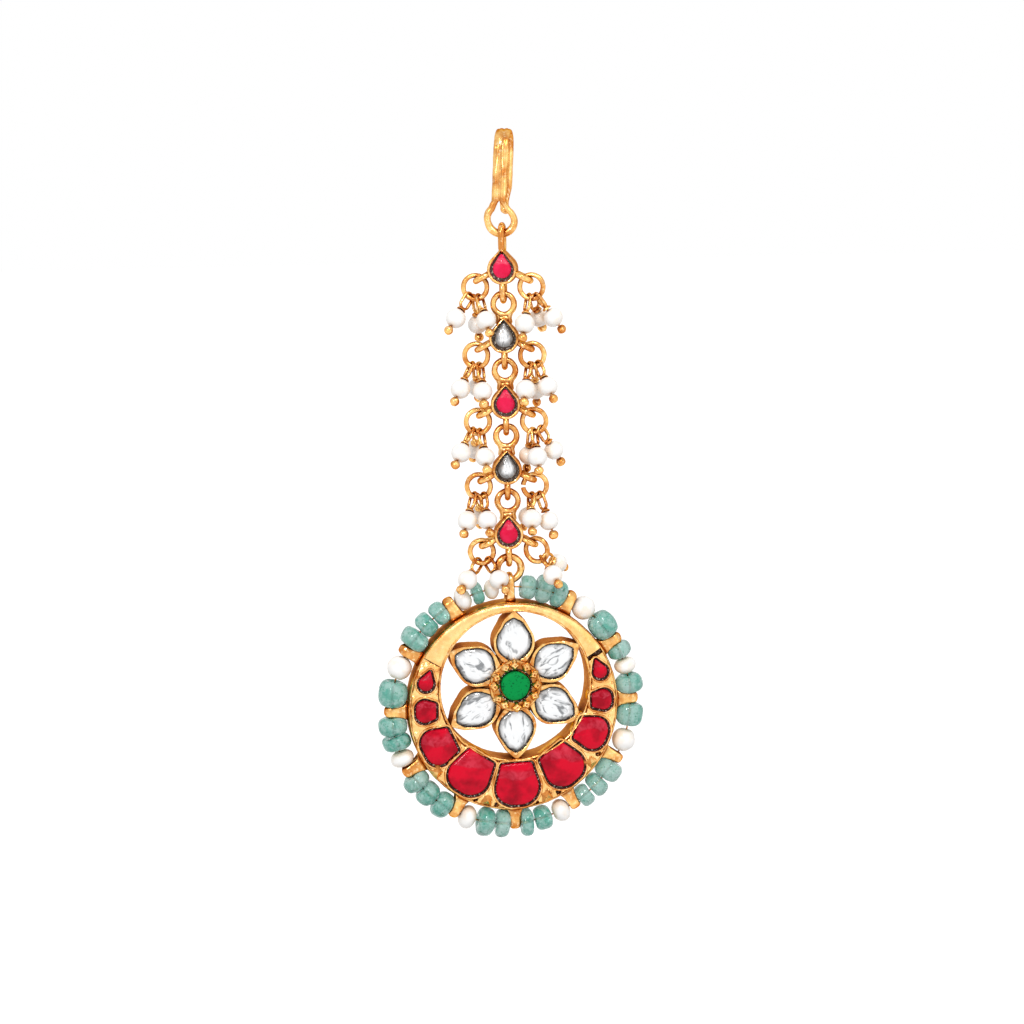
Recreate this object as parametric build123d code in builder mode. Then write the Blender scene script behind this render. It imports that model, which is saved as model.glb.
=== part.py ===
from build123d import *
import os
from math import acos, cos, degrees, radians, sin

# Maang tikka, hanging from its hair hook. Millimetres, +Z up, its front faces -Y.
# The origin is the inner top of the hook's bend, where the ornament hangs.

os.makedirs("parts", exist_ok=True)

# ---- Driving dimensions -------------------------------------------------------------------
play = 0.1  # gap between neighbouring pieces
sink = 0.3  # how far soldered members run into each other

# Hook
hook_wire = 1.25  # each of the two soldered wires
hook_pair = 1.1  # between the two wires' centres
hook_bend = 2.9  # centre-line radius of the bend
hook_front_end = -10.4  # height where the front arm opens into its eye
hook_rear_end = -9.6  # height where the rear arm's pair of wires ends
hook_tip_end = -11.6  # height of the rounded tip's centre
hook_tip_wire = 1.4
hook_eye_wire = 1.12
hook_eye_radius = 2.1  # centre-line radius of the eye's round part
hook_eye_bottom = -15.22  # centre-line height of the eye's lowest point
hook_yaw = -8.0
hook_lean = 3.4  # its top leans to the right (degrees)

# Chain links
pitch = 10.43  # from one link's eye to the next
first_eye = -26.2  # height of the second link's eye
eye_to_bezel = 4.9  # from a link's eye down to its bezel's centre
first_bezel = -20.32
eye_radius = 1.64  # centre-line
eye_wire = 0.96
bezel_rounds = [(0, -0.45, 2.35), (0, 2.45, 0.35)]  # teardrop drawn round two circles: x, y, radius
bezel_depth = 2.8
bezel_wall = 0.55
bezel_seat = 0.4  # height of the stone's seat above the link's middle
stone_rounds = [(0, -0.35, 1.38), (0, 1.55, 0.35)]
loop_wire = 1.0
loop_width = 3.3  # front to back, outside
bail_top = -13.43  # top of the first link's bail
arm_wire = 0.9
arm_root = (1.7, -0.85)  # where the round side loop starts, from the bezel's centre
arm_end = (4.7, -2.45)  # and where it ends
ring_radius = 1.88  # side rings, centre-line
ring_wire = 0.8

# Drops
stem_wire = 0.34
stem_width = 1.95
cap_radius = 0.72
cap_height = 0.5
pearl_radius = 1.58
pin_radius = 0.19
drill_radius = 0.28
ball_radius = 0.68

# Connector ring and pivot
pivot_height = -70.32
connector_radius = 1.92  # centre-line
connector_wire = 1.15
pendant_yaw = 10.0

# Pendant; depths are from the middle plane of its ears, plus towards the front
pivot_to_centre = 20.4
disc_radius = 17.1
opening_radius = 12.1
opening_centre = (0.25, 3.5)
disc_back = -2.1
disc_front = 1.6
rim_front = 2.0
rim_width = 0.35
strip_front = 2.3
strip_from = 32.0
strip_to = 148.0
setting_wall = 0.6
setting_front = 2.4
setting_seat = 0.8
stone_front = 2.9
pyramid_side = 1.3
arch_foot = 0.74  # an arched stone's inner width over its full width

# Flower
petal_rounds = [(4.2, 0, 1.8), (6.9, 0, 3.4), (11.8, 0, 0.45)]
petal_stone_rounds = [(5.2, 0, 1.3), (7.1, 0, 2.75), (10.6, 0, 0.3)]
petal_back = -1.6
petal_front = 2.0
petal_seat = 0.7
petal_stone_front = 1.7
collar_radius = 3.5
collar_lumps = 12
collar_lump_radius = 0.7
collar_front = 2.6
emerald_radius = 2.42
emerald_seat = 0.9
emerald_front = 2.9

# Beaded rim
ear_count = 12
ear_band = 1.3  # width of the ears' flat band
ear_thickness = 0.5
ear_reach = 20.85  # from the disc's centre to the ear's end
ear_depth = 2.5
bail_reach = 21.75
bail_depth = 3.0
thread_radius = 19.6
thread_drop = 0.3  # the thread's circle hangs this much below the disc's centre
thread_wire = 0.4
bead_drill = 0.4
bead_play = 0.25  # gap between beads along the thread
bail_clear = 0.9  # extra free thread on either side of the bail

# ---- Tables -------------------------------------------------------------------------------
# link: number, turn about the chain (degrees)
links = [(1, -8), (2, -3), (3, 0), (4, 2), (5, 4)]

# side ring: link, side (-1 left, 1 right), out and down from the bezel's centre, turn, gap (degrees)
side_rings = [
    (1, -1, 4.45, 3.2, 0, 0),
    (1, 1, 4.5, 3.2, 6, 0),
    (2, -1, 4.5, 3.15, 8, 0),
    (2, 1, 4.35, 3.2, -5, 0),
    (3, -1, 4.45, 3.15, -6, 0),
    (3, 1, 4.45, 3.2, 5, 0),
    (4, -1, 4.55, 3.05, 5, 0),
    (4, 1, 4.4, 3.2, -4, 14),
    (5, -1, 4.3, 3.2, 6, 0),
    (5, 1, 4.58, 3.05, 28, 0),
]

# drop: link, side, place on the ring from its bottom (degrees, plus outwards),
# swing outwards, lean to the front, turn about itself (degrees), length from ring to cap
drops = [
    (1, -1, 34, 30, 30, 25, 2.1),
    (1, -1, 3, -1, -25, 21, 2.4),
    (1, -1, -22, -20, 30, 13, 2.0),
    (1, 1, -17, -6, 25, 14, 2.2),
    (1, 1, 8, 9, -42, 20, 2.2),
    (1, 1, 33, 34, -11, 25, 2.0),
    (2, -1, 29, 25, 28, 24, 2.2),
    (2, -1, -18, -7, 31, 5, 2.2),
    (2, -1, 0, 1, -38, 15, 2.2),
    (2, 1, -19, -7, 37, 23, 2.2),
    (2, 1, 5, 3, -26, 24, 2.2),
    (2, 1, 29, 26, 30, 9, 2.0),
    (3, -1, 37, 28, 35, 25, 2.2),
    (3, -1, -14, -9, 36, 13, 2.3),
    (3, -1, 7, 10, -46, 21, 2.2),
    (3, 1, 0, 6, 26, 17, 2.0),
    (3, 1, -16, -7, -21, 10, 2.1),
    (3, 1, 36, 30, -17, 25, 2.0),
    (4, -1, 29, 17, 30, 22, 2.2),
    (4, -1, -21, -9, 38, 4, 2.2),
    (4, -1, 1, -2, -41, 22, 2.2),
    (4, 1, -21, -1, 41, 24, 2.1),
    (4, 1, -2, -18, -32, 16, 2.1),
    (4, 1, 25, 18, 18, 13, 2.2),
    (5, -1, 18, 42, 44, 15, 2.0),
    (5, -1, -31, -32, 46, 1, 2.0),
    (5, 1, 36, 32, 56, -38, 2.0),
    (5, 1, 52, 54, -48, 28, 2.0),
]

# ruby of the crescent: name, angle, distance from the centre, width, height
rubies = [
    ("ruby_bottom", -89.0, 12.8, 7.35, 7.25),
    ("ruby_right_4", -52.8, 12.85, 6.9, 6.95),
    ("ruby_right_3", -21.7, 13.6, 5.7, 5.5),
    ("ruby_left_4", -125.1, 12.85, 7.2, 7.05),
    ("ruby_left_3", -155.4, 13.65, 6.3, 5.4),
]

# small ruby: angle, distance, width, height, tip (0 none, -1 anticlockwise, 1 clockwise)
small_stones = [
    (1.3, 14.4, 3.7, 3.6, 0),
    (179.3, 14.3, 4.0, 3.6, 0),
    (21.2, 15.05, 2.6, 3.6, -1),
    (160.0, 14.95, 2.7, 3.6, 1),
]

# pyramid between two rubies: angle, distance
pyramids = [(-107.7, 15.75), (-71.9, 15.85), (-142.6, 16.05), (-38.9, 15.85)]

# rim: a row for each span between two ears, with its first angle and its beads in turn
# bead: kind, size across, size along the thread
rim = [
    (0, [("green", 4.5, 3.6), ("pearl", 3.6, 3.3), ("green", 3.9, 2.9)]),
    (30, [("green", 4.5, 4.1), ("pearl", 3.9, 3.8)]),
    (60, [("green", 4.5, 2.8), ("green", 4.6, 3.3), ("green", 3.8, 3.1)]),
    (90, [("pearl", 3.2, 3.1), ("green", 3.7, 2.4), ("pearl", 3.7, 3.5)]),
    (120, [("green", 3.9, 3.6), ("green", 4.1, 3.8), ("green", 4.6, 4.2)]),
    (150, [("pearl", 3.9, 3.9), ("green", 4.7, 4.1)]),
    (180, [("green", 4.7, 3.3), ("green", 4.7, 2.8), ("pearl", 3.9, 3.3)]),
    (210, [("green", 4.5, 3.5), ("green", 4.1, 3.9), ("green", 4.5, 4.0)]),
    (240, [("pearl", 3.9, 3.4), ("green", 4.7, 3.1), ("green", 4.7, 2.6)]),
    (270, [("green", 4.7, 2.6), ("green", 4.1, 3.4), ("pearl", 3.8, 3.7)]),
    (300, [("green", 3.9, 3.1), ("green", 4.1, 3.3), ("green", 4.5, 4.1)]),
    (330, [("pearl", 3.9, 3.9), ("green", 4.5, 3.6)]),
]


# ---- Helpers ------------------------------------------------------------------------------
def turned(origin, yaw):
    """Plane that faces forwards: x to the right, y up, z out of the front, turned about +Z."""
    turn = radians(yaw)
    return Plane(origin=origin, x_dir=(cos(turn), sin(turn), 0), z_dir=(sin(turn), -cos(turn), 0))


def plane_on(base, at, x_dir, z_dir):
    """Plane given by a point and two directions in another plane's own axes."""
    origin = base.from_local_coords(Vector(0, 0, 0))
    return Plane(
        origin=base.from_local_coords(Vector(*at)),
        x_dir=base.from_local_coords(Vector(*x_dir)) - origin,
        z_dir=base.from_local_coords(Vector(*z_dir)) - origin,
    )


def polar(radius, angle):
    """Point at a distance and an angle in degrees."""
    return radius * cos(radians(angle)), radius * sin(radians(angle))


def outline(plane, rounds, grow=0.0):
    """Sketch of the line drawn tight round some circles (x, y, radius), grown or shrunk."""
    with BuildSketch(plane) as shape:
        with BuildLine():
            for x, y, radius in rounds:
                CenterArc((x, y), max(radius + grow, 0.12), 0, 360)
        make_hull()
    return shape.sketch


def stone_solid(plane, rounds, girdle, height, inset):
    """Adds a stone to the part: straight sides up to its girdle, then a drawn-in crown."""
    extrude(outline(plane, rounds), amount=girdle)
    loft([outline(plane.offset(girdle), rounds), outline(plane.offset(height), rounds, -inset)], ruled=True)


def wire_loop(plane, length, width, wire):
    """Adds a long closed loop of round wire, its length along the plane's x."""
    with BuildSketch(plane) as middle:
        SlotOverall(length - wire, width - wire)
    path = middle.sketch.face().outer_wire()
    with BuildSketch(Plane(origin=path @ 0, z_dir=path % 0)) as section:
        Circle(wire / 2)
    sweep(section.sketch, path=path)


def band_loop(plane, length, width, band, thickness):
    """Adds a long closed loop of flat band, its length along the plane's x."""
    with BuildSketch(plane) as section:
        SlotOverall(length, width)
        SlotOverall(length - 2 * thickness, width - 2 * thickness, mode=Mode.SUBTRACT)
    extrude(section.sketch, amount=band / 2, both=True)


def save(part, name):
    """Labels a finished piece and writes its STEP file."""
    part.label = name
    export_step(part, f"parts/{name}.step")


# ---- Hook ---------------------------------------------------------------------------------
upright = turned((0, 0, 0), hook_yaw)
hook_plane = plane_on(upright, (0, 0, 0), polar(1, -hook_lean) + (0,), (0, 0, 1))
bend_height = hook_wire / 2 - hook_bend
side_view = plane_on(hook_plane, (0, 0, 0), (0, 0, 1), (-1, 0, 0))  # x to the front, y up
tip_half_angle = degrees(acos(hook_eye_radius / (hook_front_end - hook_eye_bottom - hook_eye_radius)))

with BuildPart() as hook:
    # two wires side by side: up the front arm, over the bend and down the rear arm
    with BuildLine(side_view) as arms:
        Line((hook_bend, hook_front_end - sink), (hook_bend, bend_height))
        CenterArc((0, bend_height), hook_bend, 0, 180)
        Line((-hook_bend, bend_height), (-hook_bend, hook_rear_end))
    with BuildSketch(Plane(origin=arms.line @ 0, x_dir=hook_plane.x_dir, z_dir=arms.line % 0)) as pair:
        with Locations((-hook_pair / 2, 0), (hook_pair / 2, 0)):
            Circle(hook_wire / 2)
    sweep(pair.sketch, path=arms.line)
    # rounded tip of the rear arm
    with BuildLine(side_view) as tip:
        Line((-hook_bend, hook_rear_end + sink), (-hook_bend, hook_tip_end))
    with BuildSketch(Plane(origin=tip.line @ 0, z_dir=tip.line % 0)) as tip_section:
        Circle(hook_tip_wire / 2)
    sweep(tip_section.sketch, path=tip.line)
    with Locations(tip.line @ 1):
        Sphere(hook_tip_wire / 2)
    # teardrop eye under the front arm
    eye_centre = hook_eye_bottom + hook_eye_radius
    with BuildLine(plane_on(hook_plane, (0, 0, hook_bend), (1, 0, 0), (0, 0, 1))) as eye_path:
        round_part = CenterArc(
            (0, eye_centre), hook_eye_radius, 90 + tip_half_angle, 360 - 2 * tip_half_angle
        )
        Line((0, hook_front_end), round_part @ 0)
        Line(round_part @ 1, (0, hook_front_end))
    for leg in eye_path.edges():
        with BuildSketch(Plane(origin=leg @ 0, z_dir=leg % 0)) as leg_section:
            Circle(hook_eye_wire / 2)
        sweep(leg_section.sketch, path=leg)
save(hook.part, "hook")

# ---- Links --------------------------------------------------------------------------------
chain_point = hook_plane.from_local_coords(Vector(0, hook_eye_bottom, hook_bend))
link_planes = {}
red_stones = []
white_stones = []

for number, yaw in links:
    eye_height = first_eye - pitch * (number - 2)
    bezel_height = eye_height - eye_to_bezel if number > 1 else first_bezel
    face = turned((chain_point.X, chain_point.Y, bezel_height), yaw)
    link_planes[number] = face
    bezel_bottom = bezel_rounds[0][1] - bezel_rounds[0][2]
    bezel_top = bezel_rounds[1][1] + bezel_rounds[1][2]
    loop_end = first_eye - pitch * (number - 1) + 0.05 - bezel_height
    if number == len(links):
        loop_end = pivot_height + 2 * connector_radius - connector_wire / 2 - play - loop_wire
        loop_end -= bezel_height

    with BuildPart() as link:
        extrude(outline(face.offset(-bezel_depth / 2), bezel_rounds), amount=bezel_depth)
        # bottom loop, seen edge-on from the front
        loop_start = bezel_bottom + 3 * sink
        middle = plane_on(face, (0, (loop_start + loop_end) / 2, 0), (0, 1, 0), (1, 0, 0))
        wire_loop(middle, loop_start - loop_end, loop_width, loop_wire)
        # top eye, or the first link's bail
        if number > 1:
            with Locations(plane_on(face, (0, eye_to_bezel, 0), (1, 0, 0), (0, 0, 1))):
                Torus(eye_radius, eye_wire / 2)
        else:
            bail_end = bail_top - bezel_height
            bail_start = bezel_top - 3 * sink
            middle = plane_on(face, (0, (bail_start + bail_end) / 2, 0), (0, 1, 0), (1, 0, 0))
            wire_loop(middle, bail_end - bail_start, loop_width, loop_wire)
        # side loops for the rings
        for side in (-1, 1):
            root = Vector(side * arm_root[0], arm_root[1], 0)
            end = Vector(side * arm_end[0], arm_end[1], 0)
            across = (end - root).cross(Vector(0, 0, 1))
            with Locations(plane_on(face, tuple((root + end) / 2), (0, 0, 1), tuple(across))):
                Torus((end - root).length / 2 - arm_wire / 2, arm_wire / 2)
        # the stone's recess
        recess = outline(face.offset(bezel_seat), bezel_rounds, -bezel_wall)
        extrude(recess, amount=bezel_depth, mode=Mode.SUBTRACT)
    save(link.part, f"link_{number}")

    with BuildPart() as stone:
        stone_solid(face.offset(bezel_seat + play), stone_rounds, 0.45, 1.1, 0.3)
    if number % 2:
        red_stones.append(stone.part)
    else:
        white_stones.append(stone.part)

save(Compound(children=red_stones), "link_rubies")
save(Compound(children=white_stones), "link_polkis")

# ---- Side rings and their drops -----------------------------------------------------------
pins = {-1: [], 1: []}
pearls = {-1: [], 1: []}

for number, side, out, down, turn, gap in side_rings:
    face = link_planes[number]
    # the ring turns about the point where it crosses its side loop
    cross_x = side * (arm_root[0] + arm_end[0]) / 2
    swivel = radians(turn)
    middle_x = cross_x + (side * out - cross_x) * cos(swivel)
    middle_z = (side * out - cross_x) * sin(swivel)
    ring_plane = plane_on(
        face, (middle_x, -down, middle_z), (cos(swivel), 0, sin(swivel)), (-sin(swivel), 0, cos(swivel))
    )
    with BuildPart(ring_plane) as side_ring:
        if gap:
            Torus(ring_radius, ring_wire / 2, major_angle=360 - gap, rotation=(0, 0, 180), align=None)
        else:
            Torus(ring_radius, ring_wire / 2)
    save(side_ring.part, f"side_ring_{number}_{'left' if side < 0 else 'right'}")

    for drop_link, drop_side, place, swing, lean, twist, stem in drops:
        if (drop_link, drop_side) != (number, side):
            continue
        hang_x, hang_y = polar(ring_radius, -90 + side * place)
        sideways = side * sin(radians(swing)) * cos(radians(lean))
        upwards = cos(radians(swing)) * cos(radians(lean))
        up = Vector(-sideways, upwards, -sin(radians(lean)))
        # the drop leans in its link's plane and hangs on its ring's wire
        hang = face.to_local_coords(ring_plane.from_local_coords(Vector(hang_x, hang_y, 0)))
        level = (Vector(1, 0, 0) - up * up.X).rotate(Axis((0, 0, 0), tuple(up)), twist)
        drop_plane = plane_on(face, tuple(hang), tuple(level), tuple(up))
        stem_top = ring_wire / 2 + play + stem_wire
        stem_bottom = -stem - stem_wire / 2
        pearl_height = -stem - cap_height - pearl_radius
        ball_height = pearl_height - pearl_radius - ball_radius - play / 2
        with BuildPart() as pin:
            middle = plane_on(drop_plane, (0, 0, (stem_top + stem_bottom) / 2), (0, 0, 1), (1, 0, 0))
            wire_loop(middle, stem_top - stem_bottom, stem_width, stem_wire)
            with Locations(plane_on(drop_plane, (0, 0, -stem - cap_height / 2), (1, 0, 0), (0, 0, 1))):
                Cylinder(cap_radius, cap_height - play)
            with Locations(plane_on(drop_plane, (0, 0, -stem), (1, 0, 0), (0, 0, 1))):
                Cylinder(pin_radius, -stem - ball_height, align=(Align.CENTER, Align.CENTER, Align.MAX))
            with Locations(plane_on(drop_plane, (0, 0, ball_height), (1, 0, 0), (0, 0, 1))):
                Sphere(ball_radius)
        with BuildPart(plane_on(drop_plane, (0, 0, pearl_height), (1, 0, 0), (0, 0, 1))) as pearl:
            Sphere(pearl_radius)
            Cylinder(drill_radius, 3 * pearl_radius, mode=Mode.SUBTRACT)
        pins[side].append(pin.part)
        pearls[side].append(pearl.part)

for side, word in ((-1, "left"), (1, "right")):
    save(Compound(children=pins[side]), f"head_pins_{word}")
    save(Compound(children=pearls[side]), f"drop_pearls_{word}")

# ---- Connector ring -----------------------------------------------------------------------
pivot = turned((chain_point.X, chain_point.Y, pivot_height), pendant_yaw)

with BuildPart(plane_on(pivot, (0, connector_radius, 0), (1, 0, 0), (0, 0, 1))) as connector_ring:
    Torus(connector_radius, connector_wire / 2)
save(connector_ring.part, "connector_ring")

# ---- Pendant frame ------------------------------------------------------------------------
disc = plane_on(pivot, (0, -pivot_to_centre, 0), (1, 0, 0), (0, 0, 1))
flower = plane_on(disc, (*opening_centre, 0), (1, 0, 0), (0, 0, 1))


def setting_plane(angle, distance, height):
    """Plane of a stone set in the crescent: y outwards from the disc's centre, z to the front."""
    return plane_on(disc, (*polar(distance, angle), height), polar(1, angle - 90) + (0,), (0, 0, 1))


def arch_rounds(width, height):
    """Circles round which an arched stone is drawn: a round outer end and a narrower foot."""
    shoulder = 0.42 * min(width, height)
    corner = 0.5
    shoulder_x, shoulder_y = width / 2 - shoulder, height / 2 - shoulder
    foot_x, foot_y = arch_foot * width / 2 - corner, corner - height / 2
    return [
        (-shoulder_x, shoulder_y, shoulder),
        (shoulder_x, shoulder_y, shoulder),
        (foot_x, foot_y, corner),
        (-foot_x, foot_y, corner),
    ]


def pointed_rounds(width, height, tip):
    """Circles round which a small pointed stone is drawn, its tip along x."""
    return [(-tip * (height - width) / 2, 0, width / 2), (tip * (height / 2 - 0.25), 0, 0.25)]


settings = []  # name, angle, distance, rounds
for name, angle, distance, width, height in rubies:
    settings.append((name, angle, distance, arch_rounds(width, height)))
for angle, distance, width, height, tip in small_stones:
    rounds = pointed_rounds(width, height, tip) if tip else arch_rounds(width, height)
    settings.append(("small", angle, distance, rounds))

with BuildPart() as pendant_frame:
    with BuildSketch(disc.offset(disc_back)) as crescent:
        Circle(disc_radius)
        with Locations(opening_centre):
            Circle(opening_radius, mode=Mode.SUBTRACT)
    extrude(crescent.sketch, amount=disc_front - disc_back)
    # thin raised rim all round, and the plain strip over the top
    with BuildSketch(disc) as rim_line:
        Circle(disc_radius)
        Circle(disc_radius - rim_width, mode=Mode.SUBTRACT)
    extrude(rim_line.sketch, amount=rim_front)
    with BuildSketch(disc) as strip:
        Circle(disc_radius)
        with Locations(opening_centre):
            Circle(opening_radius, mode=Mode.SUBTRACT)
        reach = 4 * disc_radius
        Polygon((0, 0), polar(reach, strip_from), polar(reach, 90), polar(reach, strip_to),
                align=None, mode=Mode.INTERSECT)
    extrude(strip.sketch, amount=strip_front)
    # settings for the stones, and pyramids between them
    for name, angle, distance, rounds in settings:
        extrude(outline(setting_plane(angle, distance, 0), rounds, setting_wall), amount=setting_front)
    for angle, distance in pyramids:
        with BuildSketch(setting_plane(angle, distance, disc_front)) as base:
            Rectangle(pyramid_side, pyramid_side)
        extrude(base.sketch, amount=pyramid_side / 2, taper=40)
    # flower: six petals and the lumped collar
    for index in range(6):
        petal = plane_on(flower, (0, 0, petal_back), (*polar(1, 90 + 60 * index), 0), (0, 0, 1))
        extrude(outline(petal, petal_rounds), amount=petal_front - petal_back)
    with BuildSketch(flower.offset(petal_back)) as collar:
        Circle(collar_radius)
        with PolarLocations(collar_radius, collar_lumps):
            Circle(collar_lump_radius)
    extrude(collar.sketch, amount=collar_front - petal_back)
    # ears for the thread, and the taller bail
    for index in range(ear_count):
        angle = 90 + 360 / ear_count * index
        reach, depth = (ear_reach, ear_depth) if index else (bail_reach, bail_depth)
        root = disc_radius - 2 * sink
        radial = (*polar(1, angle), 0)
        ear = plane_on(disc, (*polar((root + reach) / 2, angle), 0), radial, (*polar(1, angle + 90), 0))
        band_loop(ear, reach - root, depth, ear_band, ear_thickness)
    # recesses for the stones
    for name, angle, distance, rounds in settings:
        recess = outline(setting_plane(angle, distance, setting_seat), rounds, play)
        extrude(recess, amount=setting_front, mode=Mode.SUBTRACT)
    for index in range(6):
        petal = plane_on(flower, (0, 0, petal_seat), (*polar(1, 90 + 60 * index), 0), (0, 0, 1))
        extrude(outline(petal, petal_stone_rounds, play), amount=petal_front, mode=Mode.SUBTRACT)
    with BuildSketch(flower.offset(emerald_seat)) as well:
        Circle(emerald_radius + play)
    extrude(well.sketch, amount=collar_front, mode=Mode.SUBTRACT)
save(pendant_frame.part, "pendant_frame")

# ---- Pendant stones -----------------------------------------------------------------------
small_rubies = []
for name, angle, distance, rounds in settings:
    seat = setting_seat + play
    with BuildPart() as ruby:
        stone_solid(setting_plane(angle, distance, seat), rounds, 1.0, stone_front - seat, 0.8)
    if name == "small":
        small_rubies.append(ruby.part)
    else:
        save(ruby.part, name)
save(Compound(children=small_rubies), "small_rubies")

petal_stones = []
for index in range(6):
    petal = plane_on(flower, (0, 0, petal_seat + play), (*polar(1, 90 + 60 * index), 0), (0, 0, 1))
    with BuildPart() as petal_stone:
        extrude(outline(petal, petal_stone_rounds), amount=petal_stone_front - petal_seat - play)
    petal_stones.append(petal_stone.part)
save(Compound(children=petal_stones), "petal_stones")

with BuildPart(flower.offset(emerald_seat + play)) as centre_emerald:
    thickness = emerald_front - emerald_seat - play
    Cylinder(emerald_radius, thickness, align=(Align.CENTER, Align.CENTER, Align.MIN))
    fillet(centre_emerald.edges().group_by(Axis(pivot.origin, pivot.z_dir))[-1], radius=0.5)
save(centre_emerald.part, "centre_emerald")

# ---- Beaded rim ---------------------------------------------------------------------------
thread_plane = plane_on(disc, (0, -thread_drop, 0), (1, 0, 0), (0, 0, 1))
with BuildPart(thread_plane) as bead_wire:
    Torus(thread_radius, thread_wire / 2)
save(bead_wire.part, "bead_wire")

rim_pearls = []
green_count = 0
span_angle = 360 / ear_count
for first_angle, beads in rim:
    start = ear_band / 2 + bead_play
    end = radians(span_angle) * thread_radius - start
    if first_angle == 90:
        start += bail_clear
    if first_angle + span_angle == 90:
        end -= bail_clear
    room = end - start - bead_play * (len(beads) - 1)
    fit = min(1, room / sum(along for kind, across, along in beads))
    spare = (room - fit * sum(along for kind, across, along in beads)) / len(beads)
    position = start
    for kind, across, along in beads:
        length = fit * along
        position += spare / 2 + length / 2
        angle = first_angle + degrees(position / thread_radius)
        position += spare / 2 + length / 2 + bead_play
        thread_distance = thread_radius - thread_drop * sin(radians(angle))
        distance = max(thread_distance, disc_radius + across / 2 + play)
        outwards, onwards = (*polar(1, angle), 0), (*polar(1, angle - 90), 0)
        bead_plane = plane_on(disc, (*polar(distance, angle), 0), outwards, onwards)
        with BuildPart(bead_plane) as bead:
            Cylinder(across / 2, length)
            fillet(bead.edges(), radius=0.48 * min(length, across))
            with Locations((thread_distance - distance, 0, 0)):
                Cylinder(bead_drill, 2 * length, mode=Mode.SUBTRACT)
        if kind == "pearl":
            rim_pearls.append(bead.part)
        else:
            green_count += 1
            save(bead.part, f"green_bead_{green_count:02d}")
save(Compound(children=rim_pearls), "rim_pearls")
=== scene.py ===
"""Maang tikka: the visible pieces of the forehead ornament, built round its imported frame."""

import logging
import math
from dataclasses import dataclass
from enum import Enum
from typing import Sequence

import bpy
import bmesh
import numpy as np
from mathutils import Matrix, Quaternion, Vector, noise


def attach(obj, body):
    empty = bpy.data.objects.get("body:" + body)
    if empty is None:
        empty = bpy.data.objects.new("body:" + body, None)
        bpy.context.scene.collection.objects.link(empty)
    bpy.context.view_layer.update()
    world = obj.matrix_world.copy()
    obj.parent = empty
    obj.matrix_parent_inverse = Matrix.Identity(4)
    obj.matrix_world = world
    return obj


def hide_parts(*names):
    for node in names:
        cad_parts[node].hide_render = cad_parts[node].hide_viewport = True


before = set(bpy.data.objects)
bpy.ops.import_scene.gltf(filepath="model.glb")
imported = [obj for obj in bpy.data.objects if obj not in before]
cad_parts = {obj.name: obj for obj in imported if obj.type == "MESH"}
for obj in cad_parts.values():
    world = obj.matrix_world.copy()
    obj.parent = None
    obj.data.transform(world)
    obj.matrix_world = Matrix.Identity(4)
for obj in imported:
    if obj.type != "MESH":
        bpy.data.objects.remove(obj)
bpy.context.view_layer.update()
MM = 0.001
CHAIN, PENDANT = "chain", "pendant"
UNEVEN_SEED = 11  # starts the noise in the same place every run
log = logging.getLogger("maang_tikka")

Rounds = Sequence[tuple[float, float, float]]


# ---- Geometry helpers ---------------------------------------------------------------------
def unit(vector: Sequence[float]) -> np.ndarray:
    """Vector of length one along the given one."""
    array = np.asarray(vector, float)
    return array / np.linalg.norm(array)


def polar(radius: float, angle: float) -> tuple[float, float]:
    """Point at a distance and an angle in degrees."""
    return radius * math.cos(math.radians(angle)), radius * math.sin(math.radians(angle))


@dataclass(frozen=True)
class Place:
    """A point with three directions: x across, y up and z out of the front, in millimetres."""

    origin: np.ndarray
    x: np.ndarray
    y: np.ndarray
    z: np.ndarray

    @staticmethod
    def facing(origin: Sequence[float], yaw: float) -> "Place":
        """Place that faces forwards, turned about the upright.

        Args:
            origin: its point.
            yaw: the turn in degrees.

        Returns:
            The place.
        """
        turn = math.radians(yaw)
        x = np.array([math.cos(turn), math.sin(turn), 0.0])
        z = np.array([math.sin(turn), -math.cos(turn), 0.0])
        return Place(np.asarray(origin, float), x, np.cross(z, x), z)

    def out(self, points: Sequence[Sequence[float]]) -> np.ndarray:
        """Points given in this place's own directions, moved into the row frame."""
        return self.origin + np.asarray(points, float) @ np.stack([self.x, self.y, self.z])

    def back(self, point: Sequence[float]) -> np.ndarray:
        """Point of the row frame in this place's own directions."""
        return np.stack([self.x, self.y, self.z]) @ (np.asarray(point, float) - self.origin)

    def way(self, direction: Sequence[float]) -> np.ndarray:
        """Direction of this place, of length one, in the row frame."""
        return unit(np.asarray(direction, float) @ np.stack([self.x, self.y, self.z]))

    def on(self, at: Sequence[float], x_dir: Sequence[float], z_dir: Sequence[float]) -> "Place":
        """Place given by a point and two directions of this one.

        Args:
            at: the point.
            x_dir: its x direction.
            z_dir: its z direction.

        Returns:
            The new place.
        """
        z = self.way(z_dir)
        x = np.asarray(x_dir, float) @ np.stack([self.x, self.y, self.z])
        x = unit(x - z * (x @ z))
        return Place(self.out([at])[0], x, np.cross(z, x), z)


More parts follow.
